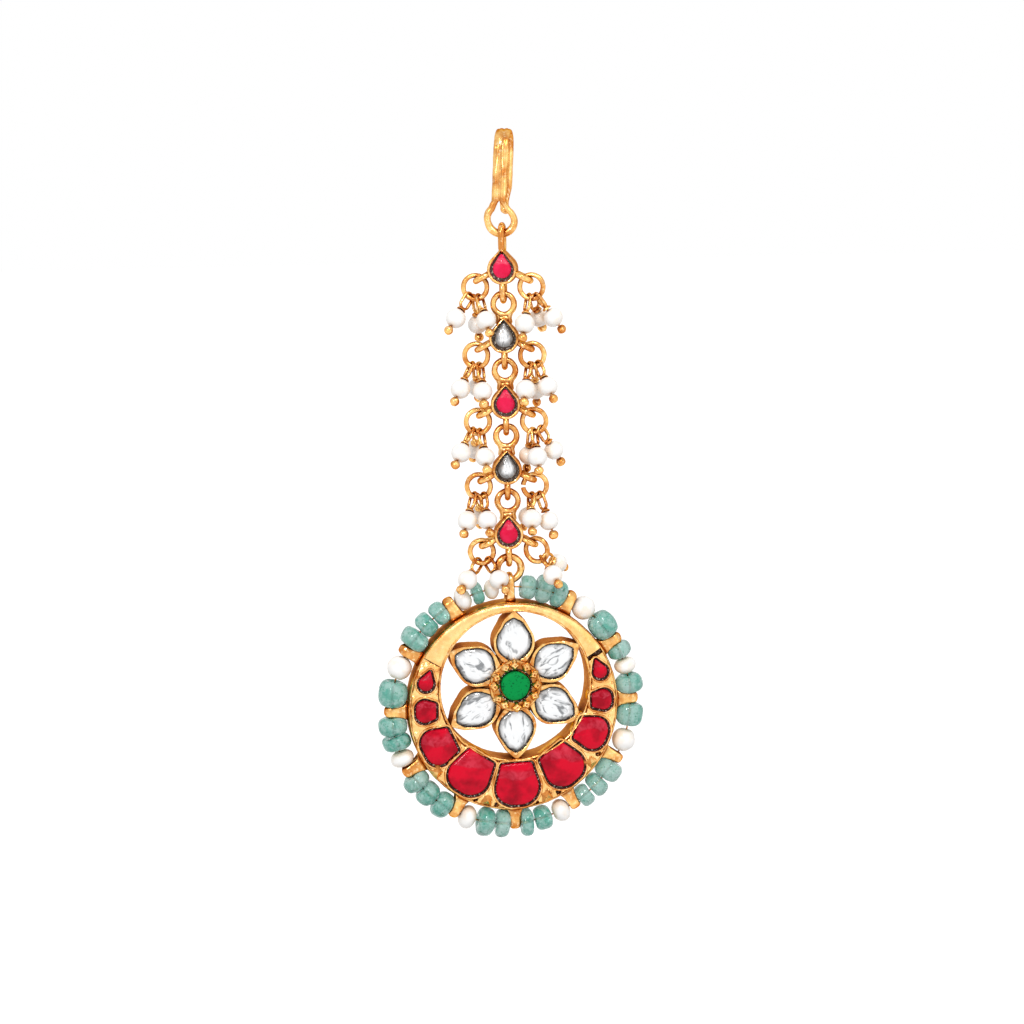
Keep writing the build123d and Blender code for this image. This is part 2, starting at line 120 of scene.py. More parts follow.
class Outline:
    """Line drawn tight round some circles, walked anticlockwise in even steps."""

    DENSE = 720
    LEAST = 0.12

    def __init__(self, rounds: Rounds, steps: int, start: float = -90.0) -> None:
        """Finds the line.

        Args:
            rounds: x, y and radius of each circle.
            steps: points on the line.
            start: direction in degrees that the walk starts from.
        """
        self.rounds = np.asarray(rounds, float)
        turn = np.radians(start + 360.0 * np.arange(self.DENSE) / self.DENSE)
        self.ways = np.stack([np.cos(turn), np.sin(turn)], 1)
        reach = self.ways @ self.rounds[:, :2].T + self.rounds[:, 2]
        self.owner = reach.argmax(1)
        dense = self._dense(0.0)
        step = np.linalg.norm(np.roll(dense, -1, 0) - dense, axis=1)
        walked = np.concatenate([[0.0], np.cumsum(step)])
        stops = np.arange(steps) * walked[-1] / steps
        self.first = np.clip(np.searchsorted(walked, stops, "right") - 1, 0, self.DENSE - 1)
        self.share = ((stops - walked[self.first]) / np.maximum(step[self.first], 1e-9))[:, None]
        self.centre = dense.mean(0)

    def _dense(self, grow: float) -> np.ndarray:
        """Close points of the line, grown by an amount."""
        radius = np.maximum(self.rounds[self.owner, 2] + grow, self.LEAST)
        return self.rounds[self.owner, :2] + self.ways * radius[:, None]

    def ring(self, grow: float, height: float, shrink: float = 1.0) -> np.ndarray:
        """Ring of points.

        Args:
            grow: how far outside the line, minus for inside.
            height: the ring's z.
            shrink: share of the way out from the line's middle.

        Returns:
            An array of points.
        """
        dense = self._dense(grow)
        flat = dense[self.first] * (1 - self.share) + dense[(self.first + 1) % self.DENSE] * self.share
        flat = self.centre + (flat - self.centre) * shrink
        return raised(flat, height)


def raised(flat: np.ndarray, height: float) -> np.ndarray:
    """Flat points lifted to a height."""
    return np.column_stack([flat, np.full(len(flat), height)])


def arc(centre: Sequence[float], radius: float, start: float, sweep: float, steps: int) -> np.ndarray:
    """Points along an arc in the xy plane.

    Args:
        centre: x and y.
        radius: its radius.
        start: first angle in degrees.
        sweep: degrees to go.
        steps: number of points, both ends included unless it is a full turn.

    Returns:
        An array of points with z 0.
    """
    full = abs(abs(sweep) - 360) < 1e-6
    turn = np.radians(start + sweep * np.arange(steps) / (steps if full else steps - 1))
    return np.column_stack([centre[0] + radius * np.cos(turn), centre[1] + radius * np.sin(turn), 0 * turn])


def slot_path(length: float, width: float, steps: int) -> np.ndarray:
    """Closed centre line of a long loop along x, in the xy plane."""
    radius = width / 2
    half = max(length / 2 - radius, 0.0)
    return np.concatenate([arc((half, 0), radius, -90, 180, steps), arc((-half, 0), radius, 90, 180, steps)])


class Tone(Enum):
    """Which finish of a gold piece a face takes."""

    BRIGHT = 0
    # Side walls and faces turned from the light: satin gold darkened by painted shade.
    SATIN_SHADED = 1
    # Faces in grooves and holes: near-black painted shade with painted glints.
    HOLLOW_SHADE = 2
    # Open faces turned to the light: gold made paler by painted light.
    OPEN_LIT = 3


class Shell:
    """Closed shapes gathered into one mesh, in millimetres."""

    def __init__(self) -> None:
        """Starts empty."""
        self.points: list[np.ndarray] = []
        self.faces: list[list[int]] = []
        self.tones: list[int] = []
        self.cuts: list[np.ndarray] = []
        self.count = 0

    def add(self, points: np.ndarray, faces: list[list[int]], tones: list[int]) -> None:
        """Takes in points and the faces between them.

        Args:
            points: the points.
            faces: each face as numbers of points.
            tones: each face's tone.
        """
        self.faces += [[index + self.count for index in face] for face in faces]
        self.points.append(points)
        self.tones += tones
        self.count += len(points)

    def loft(self, rings: Sequence[np.ndarray], tones: Tone | Sequence[Tone] = Tone.BRIGHT,
             joined: bool = False) -> None:
        """Skin over rings of equally many points.

        Args:
            rings: the rings in turn.
            tones: the tone of the whole skin, or of each band between two rings.
            joined: joins the last ring to the first one; otherwise both are closed to a point.
        """
        number, around = len(rings), len(rings[0])
        bands = number if joined else number - 1
        bands_tones = [tones] * bands if isinstance(tones, Tone) else list(tones)
        points = np.concatenate([np.asarray(ring, float) for ring in rings])
        faces, marks = [], []
        for band in range(bands):
            low, high = band * around, (band + 1) % number * around
            for step in range(around):
                after = (step + 1) % around
                faces.append([low + step, low + after, high + after, high + step])
                marks.append(bands_tones[band].value)
        if not joined:
            for ring, tone in ((0, bands_tones[0]), (number - 1, bands_tones[-1])):
                points = np.vstack([points, rings[ring].mean(0)])
                tip, low = len(points) - 1, ring * around
                faces += [[low + step, low + (step + 1) % around, tip] for step in range(around)]
                marks += [tone.value] * around
        self.add(points, faces, marks)

    def worked(self, rings: Sequence[np.ndarray], tones: Tone | Sequence[Tone],
               *wears: tuple[float, float, float]) -> np.ndarray:
        """Adds a skin that hand work has left uneven.

        Args:
            rings: the rings in turn.
            tones: the tone of the whole skin, or of each band between two rings.
            wears: largest move, grain and seed of each unevenness.

        Returns:
            The skin's points.
        """
        part = Shell()
        part.loft(rings, tones)
        part.uneven(*wears)
        self.add(part.points[0], part.faces, part.tones)
        return part.points[0]

    def tube(self, path: np.ndarray, up: Sequence[float], wide: float | np.ndarray,
             thick: float | np.ndarray | None = None, sides: int = 14, closed: bool = True) -> None:
        """Round or oval wire along a flat path.

        Args:
            path: points of the centre line.
            up: direction square to the path's plane.
            wide: radius in the path's plane, for all points or for each.
            thick: radius along up; the same as wide if left out.
            sides: points round the wire.
            closed: whether the path closes on itself.
        """
        number = len(path)
        before, after = np.roll(path, 1, 0), np.roll(path, -1, 0)
        if not closed:
            before[0], after[-1] = path[0], path[-1]
        along = after - before
        along /= np.linalg.norm(along, axis=1)[:, None]
        up = unit(up)
        aside = np.cross(along, up)
        aside /= np.linalg.norm(aside, axis=1)[:, None]
        wide = np.broadcast_to(np.asarray(wide, float), (number,))
        thick = wide if thick is None else np.broadcast_to(np.asarray(thick, float), (number,))
        rings = []
        for index in range(number):
            turn = 2 * math.pi * np.arange(sides) / sides
            rings.append(path[index] + np.outer(np.cos(turn) * wide[index], aside[index])
                         + np.outer(np.sin(turn) * thick[index], up))
        if closed:
            self.loft(rings, joined=True)
            return
        ends = []
        for index, way in ((0, -1), (number - 1, 1)):
            rounding = []
            for lift in (0.5, 0.82):
                draw = math.sqrt(1 - lift * lift)
                rounding.append(path[index] + (rings[index] - path[index]) * draw
                                + way * along[index] * lift * wide[index])
            ends.append(rounding)
        self.loft(ends[0][::-1] + rings + ends[1])

    def ball(self, centre: Sequence[float], radius: float | Sequence[float], place: "Place | None" = None,
             steps: int = 16, dimple: float = 0.0, tone: Tone = Tone.BRIGHT) -> None:
        """Ball or egg with a small dimple at its top and bottom.

        Args:
            centre: its middle, in the place's directions.
            radius: one radius, or three.
            place: where it lies; the row frame if left out.
            steps: rings from pole to pole.
            dimple: depth of the dimples as a share of the radius.
            tone: its finish.
        """
        sizes = np.broadcast_to(np.asarray(radius, float), (3,))
        circle = arc((0, 0), 1.0, 0, 360, 2 * steps)[:, :2]
        rings = []
        for index in range(1, steps):
            turn = math.pi * index / steps
            drawn = math.cos(turn) * (1 - dimple * math.exp(-((math.sin(turn) / 0.22) ** 2)))
            local = np.asarray(centre, float) + raised(math.sin(turn) * circle, drawn) * sizes
            rings.append(place.out(local) if place else local)
        self.loft(rings, tone)

    def cut(self, rings: Sequence[np.ndarray], depths: Sequence[float], seed: float, along: int,
            size: float) -> None:
        """Notes how the last skin's streaks run, and how far in from its edge each point lies.

        Args:
            rings: the skin's rings on their own plane.
            depths: share of the way in, for each ring.
            seed: start of the pattern.
            along: axis that the streaks follow.
            size: half the stone's length.
        """
        middle = rings[-1][:, :2].mean(axis=0)
        rows = []
        for ring, depth in zip([*(ring[:, :2] for ring in rings), middle[None], middle[None]],
                               [*depths, depths[0], depths[-1]]):
            way = (ring - middle) / size
            rows.append(np.column_stack([way[:, along] + 7 * seed, 2.6 * way[:, 1 - along],
                                         np.full(len(ring), depth)]))
        self.cuts.append(np.concatenate(rows))

    def window(self, points: np.ndarray, seed: float) -> None:
        """Notes where the last skin's points lie from the stone's middle, for the painted reflection band
        across it.

        Args:
            points: the skin's points.
            seed: start of the pattern.
        """
        way = points - (points.max(axis=0) + points.min(axis=0)) / 2
        way /= np.abs(way[:, 2]).max()
        self.cuts.append(np.column_stack([way[:, 0], way[:, 2], np.full(len(way), seed)]))

    def uneven(self, *wears: tuple[float, float, float]) -> None:
        """Moves every point a little, as hand work leaves it.

        Args:
            wears: largest move, size of the hollows and bumps and start of the pattern, for each pass.
        """
        for amount, grain, seed in wears:
            shift = Vector((seed, seed * 1.7, -seed))
            for number, block in enumerate(self.points):
                offsets = [tuple(noise.noise_vector(Vector(point) / grain + shift)) for point in block]
                self.points[number] = block + amount * np.array(offsets)

    def mesh(self, name: str) -> bpy.types.Mesh:
        """Mesh of all shapes, faces outwards, still in millimetres.

        Args:
            name: the mesh's name.

        Returns:
            The mesh, with the measures of any cut stones.
        """
        made = bpy.data.meshes.new(name)
        made.from_pydata(np.concatenate(self.points).tolist(), [], self.faces)
        made.polygons.foreach_set("material_index", self.tones)
        tidy = bmesh.new()
        tidy.from_mesh(made)
        bmesh.ops.recalc_face_normals(tidy, faces=tidy.faces)
        tidy.to_mesh(made)
        tidy.free()
        if self.cuts:
            layer = made.attributes.new("cut", "FLOAT_VECTOR", "POINT")
            layer.data.foreach_set("vector", np.concatenate(self.cuts).astype(np.float32).ravel())
        return made


def linked(name: str, data: bpy.types.ID) -> bpy.types.Object:
    """New object in the scene."""
    made = bpy.data.objects.new(name, data)
    bpy.context.scene.collection.objects.link(made)
    return made


def finish_piece(mesh: bpy.types.Mesh, name: str, body: str, nodes: Sequence[str],
                 finishes: Sequence[bpy.types.Material], edge: float = 38.0) -> bpy.types.Object:
    """Makes a piece from a mesh in millimetres and puts it on its body.

    Args:
        mesh: the piece's mesh.
        name: the piece's name.
        body: the body it rides on.
        nodes: the nodes it stands for.
        finishes: its materials, in the order of its faces' tones.
        edge: angle in degrees from which an edge stays crisp.

    Returns:
        The piece.
    """
    points = np.empty(len(mesh.vertices) * 3, np.float32)
    mesh.vertices.foreach_get("co", points)
    mesh.vertices.foreach_set("co", points * MM)
    tones = np.empty(len(mesh.polygons), np.int32)
    mesh.polygons.foreach_get("material_index", tones)
    mesh.materials.clear()
    for finish in finishes:
        mesh.materials.append(finish)
    mesh.polygons.foreach_set("material_index", tones)
    mesh.polygons.foreach_set("use_smooth", [True] * len(mesh.polygons))
    mesh.set_sharp_from_angle(angle=math.radians(edge))
    mesh.update()
    piece = linked(name, mesh)
    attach(piece, body)
    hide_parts(*nodes)
    log.info("%s: %d faces on %s", name, len(mesh.polygons), body)
    return piece


# ---- Finishes -----------------------------------------------------------------------------
Colour = tuple[float, float, float]


class Nodes:
    """A node tree that is being filled."""

    def __init__(self, tree: bpy.types.NodeTree) -> None:
        """Takes over a tree and empties it."""
        self.nodes, self.links = tree.nodes, tree.links
        self.nodes.clear()

    def add(self, kind: str, inputs: dict[str | int, object] | None = None,
            **settings: object) -> bpy.types.Node:
        """Adds a node.

        Args:
            kind: the node's type.
            inputs: values or sockets for its inputs.
            settings: its own properties.

        Returns:
            The node.
        """
        node = self.nodes.new(kind)
        for key, value in settings.items():
            setattr(node, key, value)
        for key, value in (inputs or {}).items():
            self.put(node, key, value)
        return node

    def put(self, node: bpy.types.Node, key: str | int, value: object) -> None:
        """Sets an input to a value, or links a socket to it.

        Args:
            node: the node.
            key: the input's name or number.
            value: a value, a colour of three parts, or a socket.
        """
        if isinstance(value, bpy.types.NodeSocket):
            self.links.new(value, node.inputs[key])
        elif isinstance(value, tuple) and len(value) == 3 and node.inputs[key].type == "RGBA":
            node.inputs[key].default_value = (*value, 1.0)
        else:
            node.inputs[key].default_value = value

    def maths(self, operation: str, *values: object) -> bpy.types.NodeSocket:
        """Result of a sum on values or sockets."""
        return self.add("ShaderNodeMath", dict(enumerate(values)), operation=operation).outputs[0]


class Paint(Nodes):
    """A material being made from nodes."""

    def __init__(self, name: str) -> None:
        """Starts a material with a shader and the piece's own coordinates.

        Args:
            name: the material's name.
        """
        self.material = bpy.data.materials.new(name)
        self.material.use_nodes = True
        super().__init__(self.material.node_tree)
        self.shader = self.add("ShaderNodeBsdfPrincipled")
        self.add("ShaderNodeOutputMaterial", {0: self.shader.outputs[0]})
        self.place = self.add("ShaderNodeTexCoord").outputs["Object"]

    def cut(self) -> bpy.types.NodeSocket:
        """The three measures that a stone's points carry."""
        return self.add("ShaderNodeAttribute", attribute_name="cut").outputs["Vector"]

    def part(self, vector: bpy.types.NodeSocket, key: str) -> bpy.types.NodeSocket:
        """One part of a vector."""
        return self.add("ShaderNodeSeparateXYZ", {"Vector": vector}).outputs[key]

    def streaks(self, cut: bpy.types.NodeSocket, scale: float, detail: float, rough: float,
                distortion: float = 0.0) -> bpy.types.NodeSocket:
        """Noise from 0 to 1 along a stone's own cut."""
        return self.add("ShaderNodeTexNoise", {"Vector": cut, "Scale": scale, "Detail": detail,
                                               "Roughness": rough, "Distortion": distortion}).outputs["Fac"]

    def noise(self, grain: float, detail: float, rough: float = 0.5) -> bpy.types.NodeSocket:
        """Noise from 0 to 1 with grains of about that many millimetres."""
        node = self.add("ShaderNodeTexNoise", {"Vector": self.place, "Scale": 1 / (grain * MM),
                                               "Detail": detail, "Roughness": rough})
        return node.outputs["Fac"]

    def steps(self, value: bpy.types.NodeSocket, low: float, high: float, first: float = 0.0,
              last: float = 1.0) -> bpy.types.NodeSocket:
        """Value brought from one range to another, held at its ends."""
        node = self.add("ShaderNodeMapRange", {"Value": value, "From Min": low, "From Max": high,
                                               "To Min": first, "To Max": last}, clamp=True)
        return node.outputs["Result"]

    def mix(self, share: bpy.types.NodeSocket | float, first: object, second: object) -> bpy.types.NodeSocket:
        """Mix of two colours.

        Args:
            share: share of the second one.
            first: a colour or a socket.
            second: a colour or a socket.

        Returns:
            A socket with the colour.
        """
        node = self.add("ShaderNodeMix", data_type="RGBA")
        for key, value in ((0, share), (6, first), (7, second)):
            self.put(node, key, value)
        return node.outputs[2]

    def hollows(self, reach: float) -> bpy.types.NodeSocket:
        """1 in the open, towards 0 in crevices narrower than that many millimetres."""
        return self.add("ShaderNodeAmbientOcclusion", {"Distance": reach * MM}, samples=8).outputs["AO"]

    def bump(self, height: bpy.types.NodeSocket, depth: float) -> None:
        """Small relief of that many millimetres."""
        node = self.add("ShaderNodeBump", {"Height": height, "Distance": depth * MM, "Strength": 1.0})
        self.put(self.shader, "Normal", node.outputs[0])

    def shade(self, **values: object) -> None:
        """Sets the shader's inputs, written with _ for spaces."""
        for key, value in values.items():
            self.put(self.shader, key.replace("_", " "), value)


@dataclass(frozen=True)
class Finish:
    """A finish with its own nodes."""

    name: str

    def dress(self, paint: Paint) -> None:
        """Lays the finish on a new material."""
        raise NotImplementedError

    def make(self) -> bpy.types.Material:
        """Material of this finish."""
        paint = Paint(self.name)
        self.dress(paint)
        return paint.material


@dataclass(frozen=True)
class GoldFinish(Finish):
    """Hand-worked gold: clouded colour, pale flecks of painted highlight, painted shade in the crevices, finely
    pitted.
    """

    pale: Colour
    deep: Colour
    crevice_shade: Colour
    rough: tuple[float, float]
    # Pale flecks strewn at random over the gold: painted highlight.
    highlight_flecks: Colour = (1.0, 0.78, 0.44)
    highlight_share: float = 0.75
    grain: float = 0.55
    pits: float = 0.03
    metal: float = 1.0
    # reach: how far the painted crevice shade spreads, in millimetres.
    reach: float = 1.6

    def dress(self, paint: Paint) -> None:
        """Lays the finish on.

        Args:
            paint: the new material.
        """
        clouds = paint.noise(2.6, 3.0)
        fine = paint.noise(self.grain, 3.0, 0.6)
        colour = paint.mix(paint.steps(clouds, 0.38, 0.6), self.deep, self.pale)
        colour = paint.mix(paint.steps(fine, 0.54, 0.76, 0.0, 0.55), colour, self.deep)
        # Painted highlight: pale flecks where the fine noise is low.
        colour = paint.mix(paint.steps(fine, 0.30, 0.46, self.highlight_share, 0.0), colour, self.highlight_flecks)
        # Painted shade: the crevice colour darkens the gold wherever ambient occlusion finds a hollow.
        colour = paint.mix(paint.steps(paint.hollows(self.reach), 0.2, 0.9), self.crevice_shade, colour)
        paint.bump(fine, self.pits)
        paint.shade(Base_Color=colour, Metallic=self.metal, Specular_Tint=(0.75, 0.38, 0.12),
                    Roughness=paint.steps(fine, 0.3, 0.75, *self.rough))


@dataclass(frozen=True)
class GrooveShadeFinish(Finish):
    """Painted shade for the groove round a stone and other hollows: near-black, with pale specks of painted
    glint.
    """

    name: str = "groove_painted_shade"
    dark: Colour = (0.04, 0.02, 0.013)
    # Pale specks in the groove: painted glints.
    glints: Colour = (0.80, 0.70, 0.58)

    def dress(self, paint: Paint) -> None:
        """Lays the finish on.

        Args:
            paint: the new material.
        """
        speck = paint.noise(0.26, 1.0)
        paint.bump(speck, 0.06)
        # Painted glints: pale specks where the speck noise is high.
        colour = paint.mix(paint.steps(speck, 0.60, 0.68), self.dark, self.glints)
        paint.shade(Base_Color=colour, Specular_IOR_Level=0.2, Roughness=0.6)


@dataclass(frozen=True)
class RubyFinish(Finish):
    """Red stone over foil: deep red clouds, a painted reflection band across its upper part, and a glassy skin.
    """

    name: str = "ruby"
    red: Colour = (0.70, 0.002, 0.023)
    deep: Colour = (0.36, 0.001, 0.012)
    # pale: colour of the painted reflection band, clouded by the stone's streaks.
    pale: Colour = (0.64, 0.06, 0.10)
    reflection_from: tuple[float, float] = (0.71, 0.79)
    reflection_to: tuple[float, float] = (1.15, 1.4)

    def dress(self, paint: Paint) -> None:
        """Lays the finish on.

        Args:
            paint: the new material.
        """
        cut = paint.cut()
        # Painted reflection: a band high on each stone, faded in and out at these heights.
        height = paint.maths("MULTIPLY_ADD", paint.streaks(cut, 0.8, 1.5, 0.5), 1.1, paint.part(cut, "Y"))
        band = paint.maths("MULTIPLY", paint.steps(height, *self.reflection_from),
                           paint.steps(height, *self.reflection_to, 1.0, 0.0))
        grain = paint.streaks(cut, 2.6, 3.0, 0.6, 0.8)
        reflected = paint.mix(paint.steps(grain, 0.36, 0.66), self.deep, self.pale)
        colour = paint.mix(paint.steps(paint.noise(3.4, 3.0, 0.55), 0.36, 0.56), self.deep, self.red)
        share = paint.maths("MULTIPLY", band, 0.6)
        colour = paint.mix(share, colour, reflected)
        paint.shade(Base_Color=colour, Roughness=0.07, IOR=1.6, Specular_IOR_Level=0.1,
                    Specular_Tint=(1.0, 0.75, 0.8))


@dataclass(frozen=True)
class PolkiFinish(Finish):
    """Clear flat-cut stone over silver foil: bright, with grey streaks of painted reflection along its cut and
    a grey edge of painted shade.
    """

    name: str = "polki"
    bright: Colour = (0.87, 0.88, 0.89)
    reflection_grey: Colour = (0.24, 0.25, 0.26)
    edge: Colour = (0.20, 0.195, 0.19)
    scale: float = 1.25
    shaded_border: tuple[float, float] = (0.25, 0.56)

    def dress(self, paint: Paint) -> None:
        """Lays the finish on.

        Args:
            paint: the new material.
        """
        cut = paint.cut()
        streaks = paint.streaks(cut, self.scale, 2.5, 0.55, 1.0)
        # Painted reflection: grey streaks stand for dark surroundings seen in the facets.
        colour = paint.mix(paint.steps(streaks, 0.36, 0.47), self.reflection_grey, self.bright)
        depth = paint.maths("MULTIPLY_ADD", streaks, 0.45, paint.part(cut, "Z"))
        # Painted shade: the edge colour darkens the rim where the stone meets the gold.
        colour = paint.mix(paint.steps(depth, *self.shaded_border), self.edge, colour)
        paint.bump(streaks, 0.12)
        paint.shade(Base_Color=colour, Metallic=0.25, Roughness=0.1, IOR=1.6)


@dataclass(frozen=True)
class EmeraldFinish(Finish):
    """Matt green stone with small dark specks."""

    name: str = "emerald"
    green: Colour = (0.004, 0.29, 0.065)
    speck: Colour = (0.002, 0.10, 0.03)

    def dress(self, paint: Paint) -> None:
        """Lays the finish on.

        Args:
            paint: the new material.
        """
        colour = paint.mix(paint.steps(paint.noise(0.3, 2.0), 0.58, 0.68), self.green, self.speck)
        paint.bump(paint.noise(0.4, 2.0), 0.015)
        paint.shade(Base_Color=colour, Roughness=0.5, Specular_IOR_Level=0.04)


@dataclass(frozen=True)
class GreenBeadFinish(Finish):
    """Cloudy sea-green stone, a little clear, with darker specks."""

    name: str = "green_bead"
    body: Colour = (0.10, 0.43, 0.34)
    cloud: Colour = (0.40, 0.66, 0.60)
    pale: Colour = (0.58, 0.74, 0.69)
    speck: Colour = (0.02, 0.27, 0.16)

    def dress(self, paint: Paint) -> None:
        """Lays the finish on.

        Args:
            paint: the new material.
        """
        colour = paint.mix(paint.steps(paint.noise(1.5, 3.5, 0.65), 0.42, 0.6), self.body, self.cloud)
        colour = paint.mix(paint.steps(paint.noise(5.5, 1.0), 0.42, 0.62, 0.0, 0.55), colour, self.pale)
        colour = paint.mix(paint.steps(paint.noise(0.5, 3.0, 0.65), 0.55, 0.68, 0.0, 0.75), colour, self.speck)
        paint.bump(paint.noise(0.9, 2.0), 0.07)
        paint.shade(Base_Color=colour, Roughness=0.05, IOR=1.45, Specular_IOR_Level=0.5,
                    Transmission_Weight=0.5)


@dataclass(frozen=True)
class PearlFinish(Finish):
    """Soft white pearl with random cream patches, and cream painted shade and reflection in its hollows."""

    name: str = "pearl"
    face: Colour = (0.94, 0.925, 0.905)
    edge: Colour = (0.93, 0.77, 0.60)

    def dress(self, paint: Paint) -> None:
        """Lays the finish on.

        Args:
            paint: the new material.
        """
        clouds = paint.noise(1.6, 2.0)
        colour = paint.mix(paint.steps(clouds, 0.5, 0.72, 0.0, 0.6), self.face, self.edge)
        # Painted shade and reflection: the cream edge colour where ambient occlusion finds nearby parts.
        colour = paint.mix(paint.steps(paint.hollows(2.4), 0.45, 0.9), self.edge, colour)
        paint.bump(paint.noise(0.8, 2.0), 0.015)
        paint.shade(Base_Color=colour, Roughness=0.3, Coat_Weight=0.3, Coat_Roughness=0.12,
                    Sheen_Weight=0.35, Sheen_Roughness=0.4, Sheen_Tint=(1.0, 0.72, 0.45))


class Finishes:
    """All finishes of the ornament, made once."""

    def __init__(self) -> None:
        """Makes the materials."""
        self.gold = GoldFinish("gold", (0.95, 0.58, 0.20), (0.60, 0.22, 0.048), (0.30, 0.085, 0.018),
                               (0.16, 0.36)).make()
        # Satin gold: a rougher finish whose darker colour is painted shade, for side walls and faces turned
        # from the light.
        self.satin_shaded = GoldFinish("satin_gold_painted_shade", (0.68, 0.32, 0.09), (0.52, 0.20, 0.045), (0.32, 0.11, 0.02),
                                (0.5, 0.65), (0.74, 0.38, 0.13), metal=0.8).make()
        # Open gold: a paler copy of the gold for open faces turned to the light; its lighter colour is painted
        # light.
        self.open = GoldFinish("open_gold_painted_light", (1.0, 0.66, 0.27), (0.84, 0.45, 0.14), (0.36, 0.12, 0.025),
                               (0.2, 0.36), highlight_share=0.35, reach=0.6).make()
        self.dark = GrooveShadeFinish().make()
        self.groove = GrooveShadeFinish("brown_groove_painted_shade", (0.12, 0.085, 0.066), (0.85, 0.78, 0.68)).make()
        self.ruby = RubyFinish().make()
        self.pink = RubyFinish("pink_ruby", (0.88, 0.02, 0.10), (0.72, 0.008, 0.055),
                               (0.92, 0.22, 0.30)).make()
        self.polki = PolkiFinish().make()
        self.emerald = EmeraldFinish().make()
        self.green = GreenBeadFinish().make()
        self.pearl = PearlFinish().make()

    @property
    def golds(self) -> list[bpy.types.Material]:
        """Finishes of a gold piece, in the order of the tones."""
        return [self.gold, self.satin_shaded, self.dark, self.open]

    @property
    def link_golds(self) -> list[bpy.types.Material]:
        """The same for a link, whose painted groove shade is browner."""
        return [self.gold, self.satin_shaded, self.groove, self.open]


# ---- Geometry Nodes -----------------------------------------------------------------------
class Tree(Nodes):
    """A node tree that makes geometry, with named inputs."""

    KINDS = {"Part": "Object", "Finish": "Material", "Seed": "Int"}
    SURFACE = ("Unevenness", "Grain", "Seed", "Finish")

    def __init__(self, name: str, *inputs: str) -> None:
        """Starts the tree.

        Args:
            name: its name.
            inputs: names of its own inputs, beside the geometry and those of the surface.
        """
        group = bpy.data.node_groups.new(name, "GeometryNodeTree")
        super().__init__(group)
        self.group, face = group, group.interface
        face.new_socket("Geometry", in_out="INPUT", socket_type="NodeSocketGeometry")
        self.keys = {key: face.new_socket(key, in_out="INPUT",
                                          socket_type="NodeSocket" + self.KINDS.get(key, "Float")).identifier
                     for key in (*inputs, *self.SURFACE)}
        face.new_socket("Geometry", in_out="OUTPUT", socket_type="NodeSocketGeometry")
        self.given = self.add("NodeGroupInput").outputs

    def attribute(self, name: str) -> bpy.types.NodeSocket:
        """Direction or size that the points carry under a name."""
        named = self.add("GeometryNodeInputNamedAttribute", {"Name": name}, data_type="FLOAT_VECTOR")
        return named.outputs["Attribute"]

    def hand_worked(self, geometry: bpy.types.NodeSocket) -> None:
        """Ends the tree: real geometry, made a little uneven and given its finish.

        Args:
            geometry: what the tree has made so far.
        """
        cloud = self.add("ShaderNodeTexNoise", {
            "Scale": self.maths("DIVIDE", 1.0, self.given["Grain"]), "Detail": 1.0,
            "W": self.maths("MULTIPLY", self.given["Seed"], 7.31)}, noise_dimensions="4D")
        centred = self.add("ShaderNodeVectorMath", {0: cloud.outputs["Color"], 1: (0.5, 0.5, 0.5)},
                           operation="SUBTRACT")
        offset = self.add("ShaderNodeVectorMath", {0: centred.outputs[0], "Scale": self.given["Unevenness"]},
                          operation="SCALE")
        real = self.add("GeometryNodeRealizeInstances", {0: geometry})
        moved = self.add("GeometryNodeSetPosition", {"Geometry": real.outputs[0], "Offset": offset.outputs[0]})
        dressed = self.add("GeometryNodeSetMaterial", {"Geometry": moved.outputs[0],
                                                       "Material": self.given["Finish"]})
        self.add("NodeGroupOutput", {0: dressed.outputs[0]})

    def run(self, source: bpy.types.Mesh, values: dict[str, object]) -> bpy.types.Mesh:
        """Plain mesh that the tree makes.

        Args:
            source: the mesh that it starts from.
            values: value of each named input.

        Returns:
            The new mesh.
        """
        carrier = linked("carrier", source)
        modifier = carrier.modifiers.new("tree", "NODES")
        modifier.node_group = self.group
        for key, value in values.items():
            modifier[self.keys[key]] = value
        carrier.update_tag()
        graph = bpy.context.evaluated_depsgraph_get()
        made = bpy.data.meshes.new_from_object(carrier.evaluated_get(graph))
        carrier.modifiers.remove(modifier)
        bpy.data.objects.remove(carrier)
        return made


class CopiesTree(Tree):
    """Sets copies of one part on points, each with its own size and lie."""

    def __init__(self) -> None:
        """Builds the tree."""
        super().__init__("copies_on_points", "Part")
        part = self.add("GeometryNodeObjectInfo", {"Object": self.given["Part"]})
        lie = self.add("FunctionNodeAxesToRotation", {0: self.attribute("lengthwise"),
                                                      1: self.attribute("sideways")},
                       primary_axis="Z", secondary_axis="X")
        placed = self.add("GeometryNodeInstanceOnPoints", {
            "Points": self.given["Geometry"], "Instance": part.outputs["Geometry"],
            "Rotation": lie.outputs[0], "Scale": self.attribute("size")})
        self.hand_worked(placed.outputs[0])


class WireTree(Tree):
    """Draws round wire along the edges of a line."""

    def __init__(self) -> None:
        """Builds the tree."""
        super().__init__("wire_along_line", "Wire radius")
        line = self.add("GeometryNodeMeshToCurve", {"Mesh": self.given["Geometry"]})
        section = self.add("GeometryNodeCurvePrimitiveCircle", {"Resolution": 16,
                                                                "Radius": self.given["Wire radius"]})
        wire = self.add("GeometryNodeCurveToMesh", {"Curve": line.outputs[0],
                                                    "Profile Curve": section.outputs[0],
                                                    "Fill Caps": True})
        self.hand_worked(wire.outputs[0])


